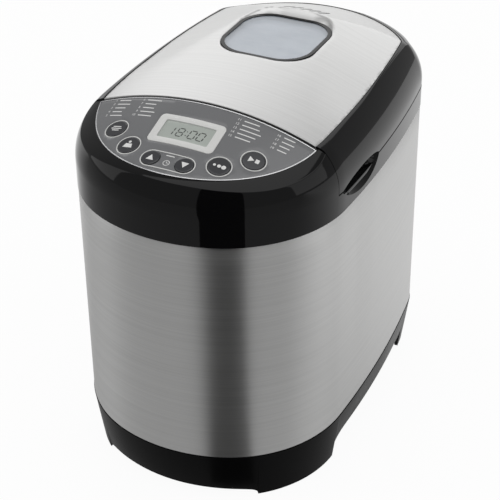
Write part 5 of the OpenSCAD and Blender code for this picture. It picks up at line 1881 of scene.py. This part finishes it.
def aimed(back: np.ndarray) -> list[list[float]]:
    """The rotation of something whose own Z points along a direction."""
    z = back / np.linalg.norm(back)
    x = np.cross([0.0, 0.0, 1.0], z)
    x /= np.linalg.norm(x)
    y = np.cross(z, x)
    return np.stack([x, y, z], 1).tolist()


@dataclass(frozen=True)
class Viewpoint:
    """The camera, by its place and the way it looks."""

    place: tuple[float, float, float] = (0.4803, -0.9709, 0.8318)
    azimuth: float = math.radians(26.65)
    elevation: float = math.radians(32.83)
    roll: float = math.radians(-0.705)
    lens: float = 110.66

    def build(self) -> None:
        """Makes the camera and sets it as the scene's."""
        a, e, r = self.azimuth, self.elevation, self.roll
        ahead = np.array([-math.sin(a) * math.cos(e), math.cos(a) * math.cos(e), -math.sin(e)])
        right = np.array([math.cos(a), math.sin(a), 0.0])
        up = np.cross(right, ahead)
        x = math.cos(r) * right + math.sin(r) * up
        y = math.cos(r) * up - math.sin(r) * right
        data = bpy.data.cameras.new("camera")
        data.lens = self.lens
        data.sensor_width = 36.0
        data.clip_start, data.clip_end = 0.05, 60.0
        made = bpy.data.objects.new("camera", data)
        bpy.context.scene.collection.objects.link(made)
        turned = Matrix(np.stack([x, y, -ahead], 1).tolist()).to_4x4()
        made.matrix_world = Matrix.Translation(self.place) @ turned
        bpy.context.scene.camera = made


@dataclass
class Studio:
    """Pale floor, soft boxes and an even white room."""

    room: float = 0.42
    floor_rings: tuple[float, ...] = (0.001, 1.0, 6.0)
    floor_white: float = 0.95
    floor_mirrored: tuple[float, float] = (0.50, 1.10)
    floor_rise: tuple[float, float] = (-0.20, 0.35)
    lamps: Sequence[Lamp] = (
        Lamp("soft_back", (-1.0, 2.6, 1.5), (3.2, 2.4), 22.0),
        Lamp("soft_top", (0.1, -0.3, 2.4), (2.6, 2.0), 17.0),
        Lamp("soft_left", (-2.6, -0.9, 1.3), (1.8, 2.2), 10.0),
        Lamp("soft_right", (2.6, 0.4, 1.3), (1.8, 2.2), 9.0),
    )
    gap: tuple[tuple[float, float, float], tuple[float, float, float]] = (
        (0.036, -0.166, -86.5), (0.073, -0.148, -50.0))
    gap_rows: tuple[tuple[float, float], ...] = ((0.001, 0.0), (0.001, 1.5), (1.6, 1.5), (2.6, 0.9))
    gap_colour: Colour = (0.05, 0.05, 0.05)

    def build(self) -> None:
        """Builds the room."""
        self._world()
        self._floor()
        self._gap()
        for lamp in self.lamps:
            lamp.build()
        bpy.context.scene.view_settings.view_transform = "Standard"
        Viewpoint().build()

    def _world(self) -> None:
        """White where the camera looks, dimmer as light and in reflections."""
        world = bpy.data.worlds.new("room")
        bpy.context.scene.world = world
        world.use_nodes = True
        shader = Shader.of_tree(world.node_tree)
        seen = shader.node("ShaderNodeLightPath", output="Is Camera Ray")
        through = shader.node("ShaderNodeLightPath", output="Is Transmission Ray")
        level = self.room + seen.maths("MAXIMUM", through) * (1.0 - self.room)
        lit = shader.node("ShaderNodeBackground", {}, {"Color": (1.0, 1.0, 1.0), "Strength": level})
        out = shader.tree.nodes.new("ShaderNodeOutputWorld")
        shader.tree.links.new(lit.socket, out.inputs["Surface"])

    def _floor(self) -> None:
        """A wide pale floor that shows white and keeps the shadow."""
        skin = Skin()
        angles = np.linspace(0, 2 * math.pi, 96, endpoint=False)
        circle = np.stack([np.cos(angles), np.sin(angles), np.zeros(96)], 1)
        skin.grid([r * circle for r in self.floor_rings], True, False)
        floor = skin.object("floor")
        shader = Shader("floor")
        cloud = shader.noise((3.0, 3.0, 3.0), 2.0)
        shaded = shader.node("ShaderNodeBsdfPrincipled", {}, {
            "Base Color": shader.blend(cloud, (0.88, 0.88, 0.88), (0.92, 0.92, 0.92)), "Roughness": 0.6})
        seen = shader.node("ShaderNodeLightPath", output="Is Camera Ray")
        glossy = shader.node("ShaderNodeLightPath", output="Is Glossy Ray")
        near, far = self.floor_mirrored
        along = shader.node("ShaderNodeSeparateXYZ", {}, {0: shader.place()}, "Y").step(*self.floor_rise)
        strength = 1.0 + glossy * (near + along * (far - near) - 1.0)
        white = shader.node("ShaderNodeEmission", {}, {"Color": (1.0, 1.0, 1.0), "Strength": strength})
        share = (seen * self.floor_white).maths("MAXIMUM", glossy)
        mixed = shader.node("ShaderNodeMixShader", {}, {0: share, 1: shaded, 2: white})
        shader.node_out(mixed)
        floor.data.materials.append(shader.material)

    def _gap(self) -> None:
        """The dark gap between the soft boxes, which only shows in reflections."""
        (x0, y0, a0), (x1, y1, a1) = self.gap
        rows = []
        for z, reach in self.gap_rows:
            ends = [(x + reach * math.cos(math.radians(a)), y + reach * math.sin(math.radians(a)), z)
                    for x, y, a in ((x0, y0, a0), (x1, y1, a1))]
            rows.append(np.array(ends))
        skin = Skin()
        skin.grid(rows, False, False)
        card = skin.object("dark_gap")
        shader = Shader("dark_gap")
        shader.surface(Base_Color=self.gap_colour, Roughness=1.0, Specular_IOR_Level=0.0)
        card.data.materials.append(shader.material)
        card.visible_camera = False
        card.visible_diffuse = False
        card.visible_shadow = False
        card.visible_transmission = False


def main() -> None:
    """Builds every sub-assembly in order."""
    logging.basicConfig(level=logging.INFO, format="%(name)s %(message)s")
    low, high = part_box("top_housing")
    plan = Plan(width=high.x - low.x, length=high.y - low.y)
    form = Form(plan, Crown(y=-0.083, z=0.3104, tilt=math.radians(17.1)))
    dress = Dresser()
    Carried().build()
    Base(form, dress).build()
    Wrap(form, dress).build()
    notch = Notch(form)
    housing = Housing(form, notch, dress)
    housing.build()
    Panel(form, housing, dress).build()
    Lid(form, notch, dress).build()
    Studio().build()
    log.info("%d pieces made", len(dress.made))


if __name__ == "__main__":
    main()
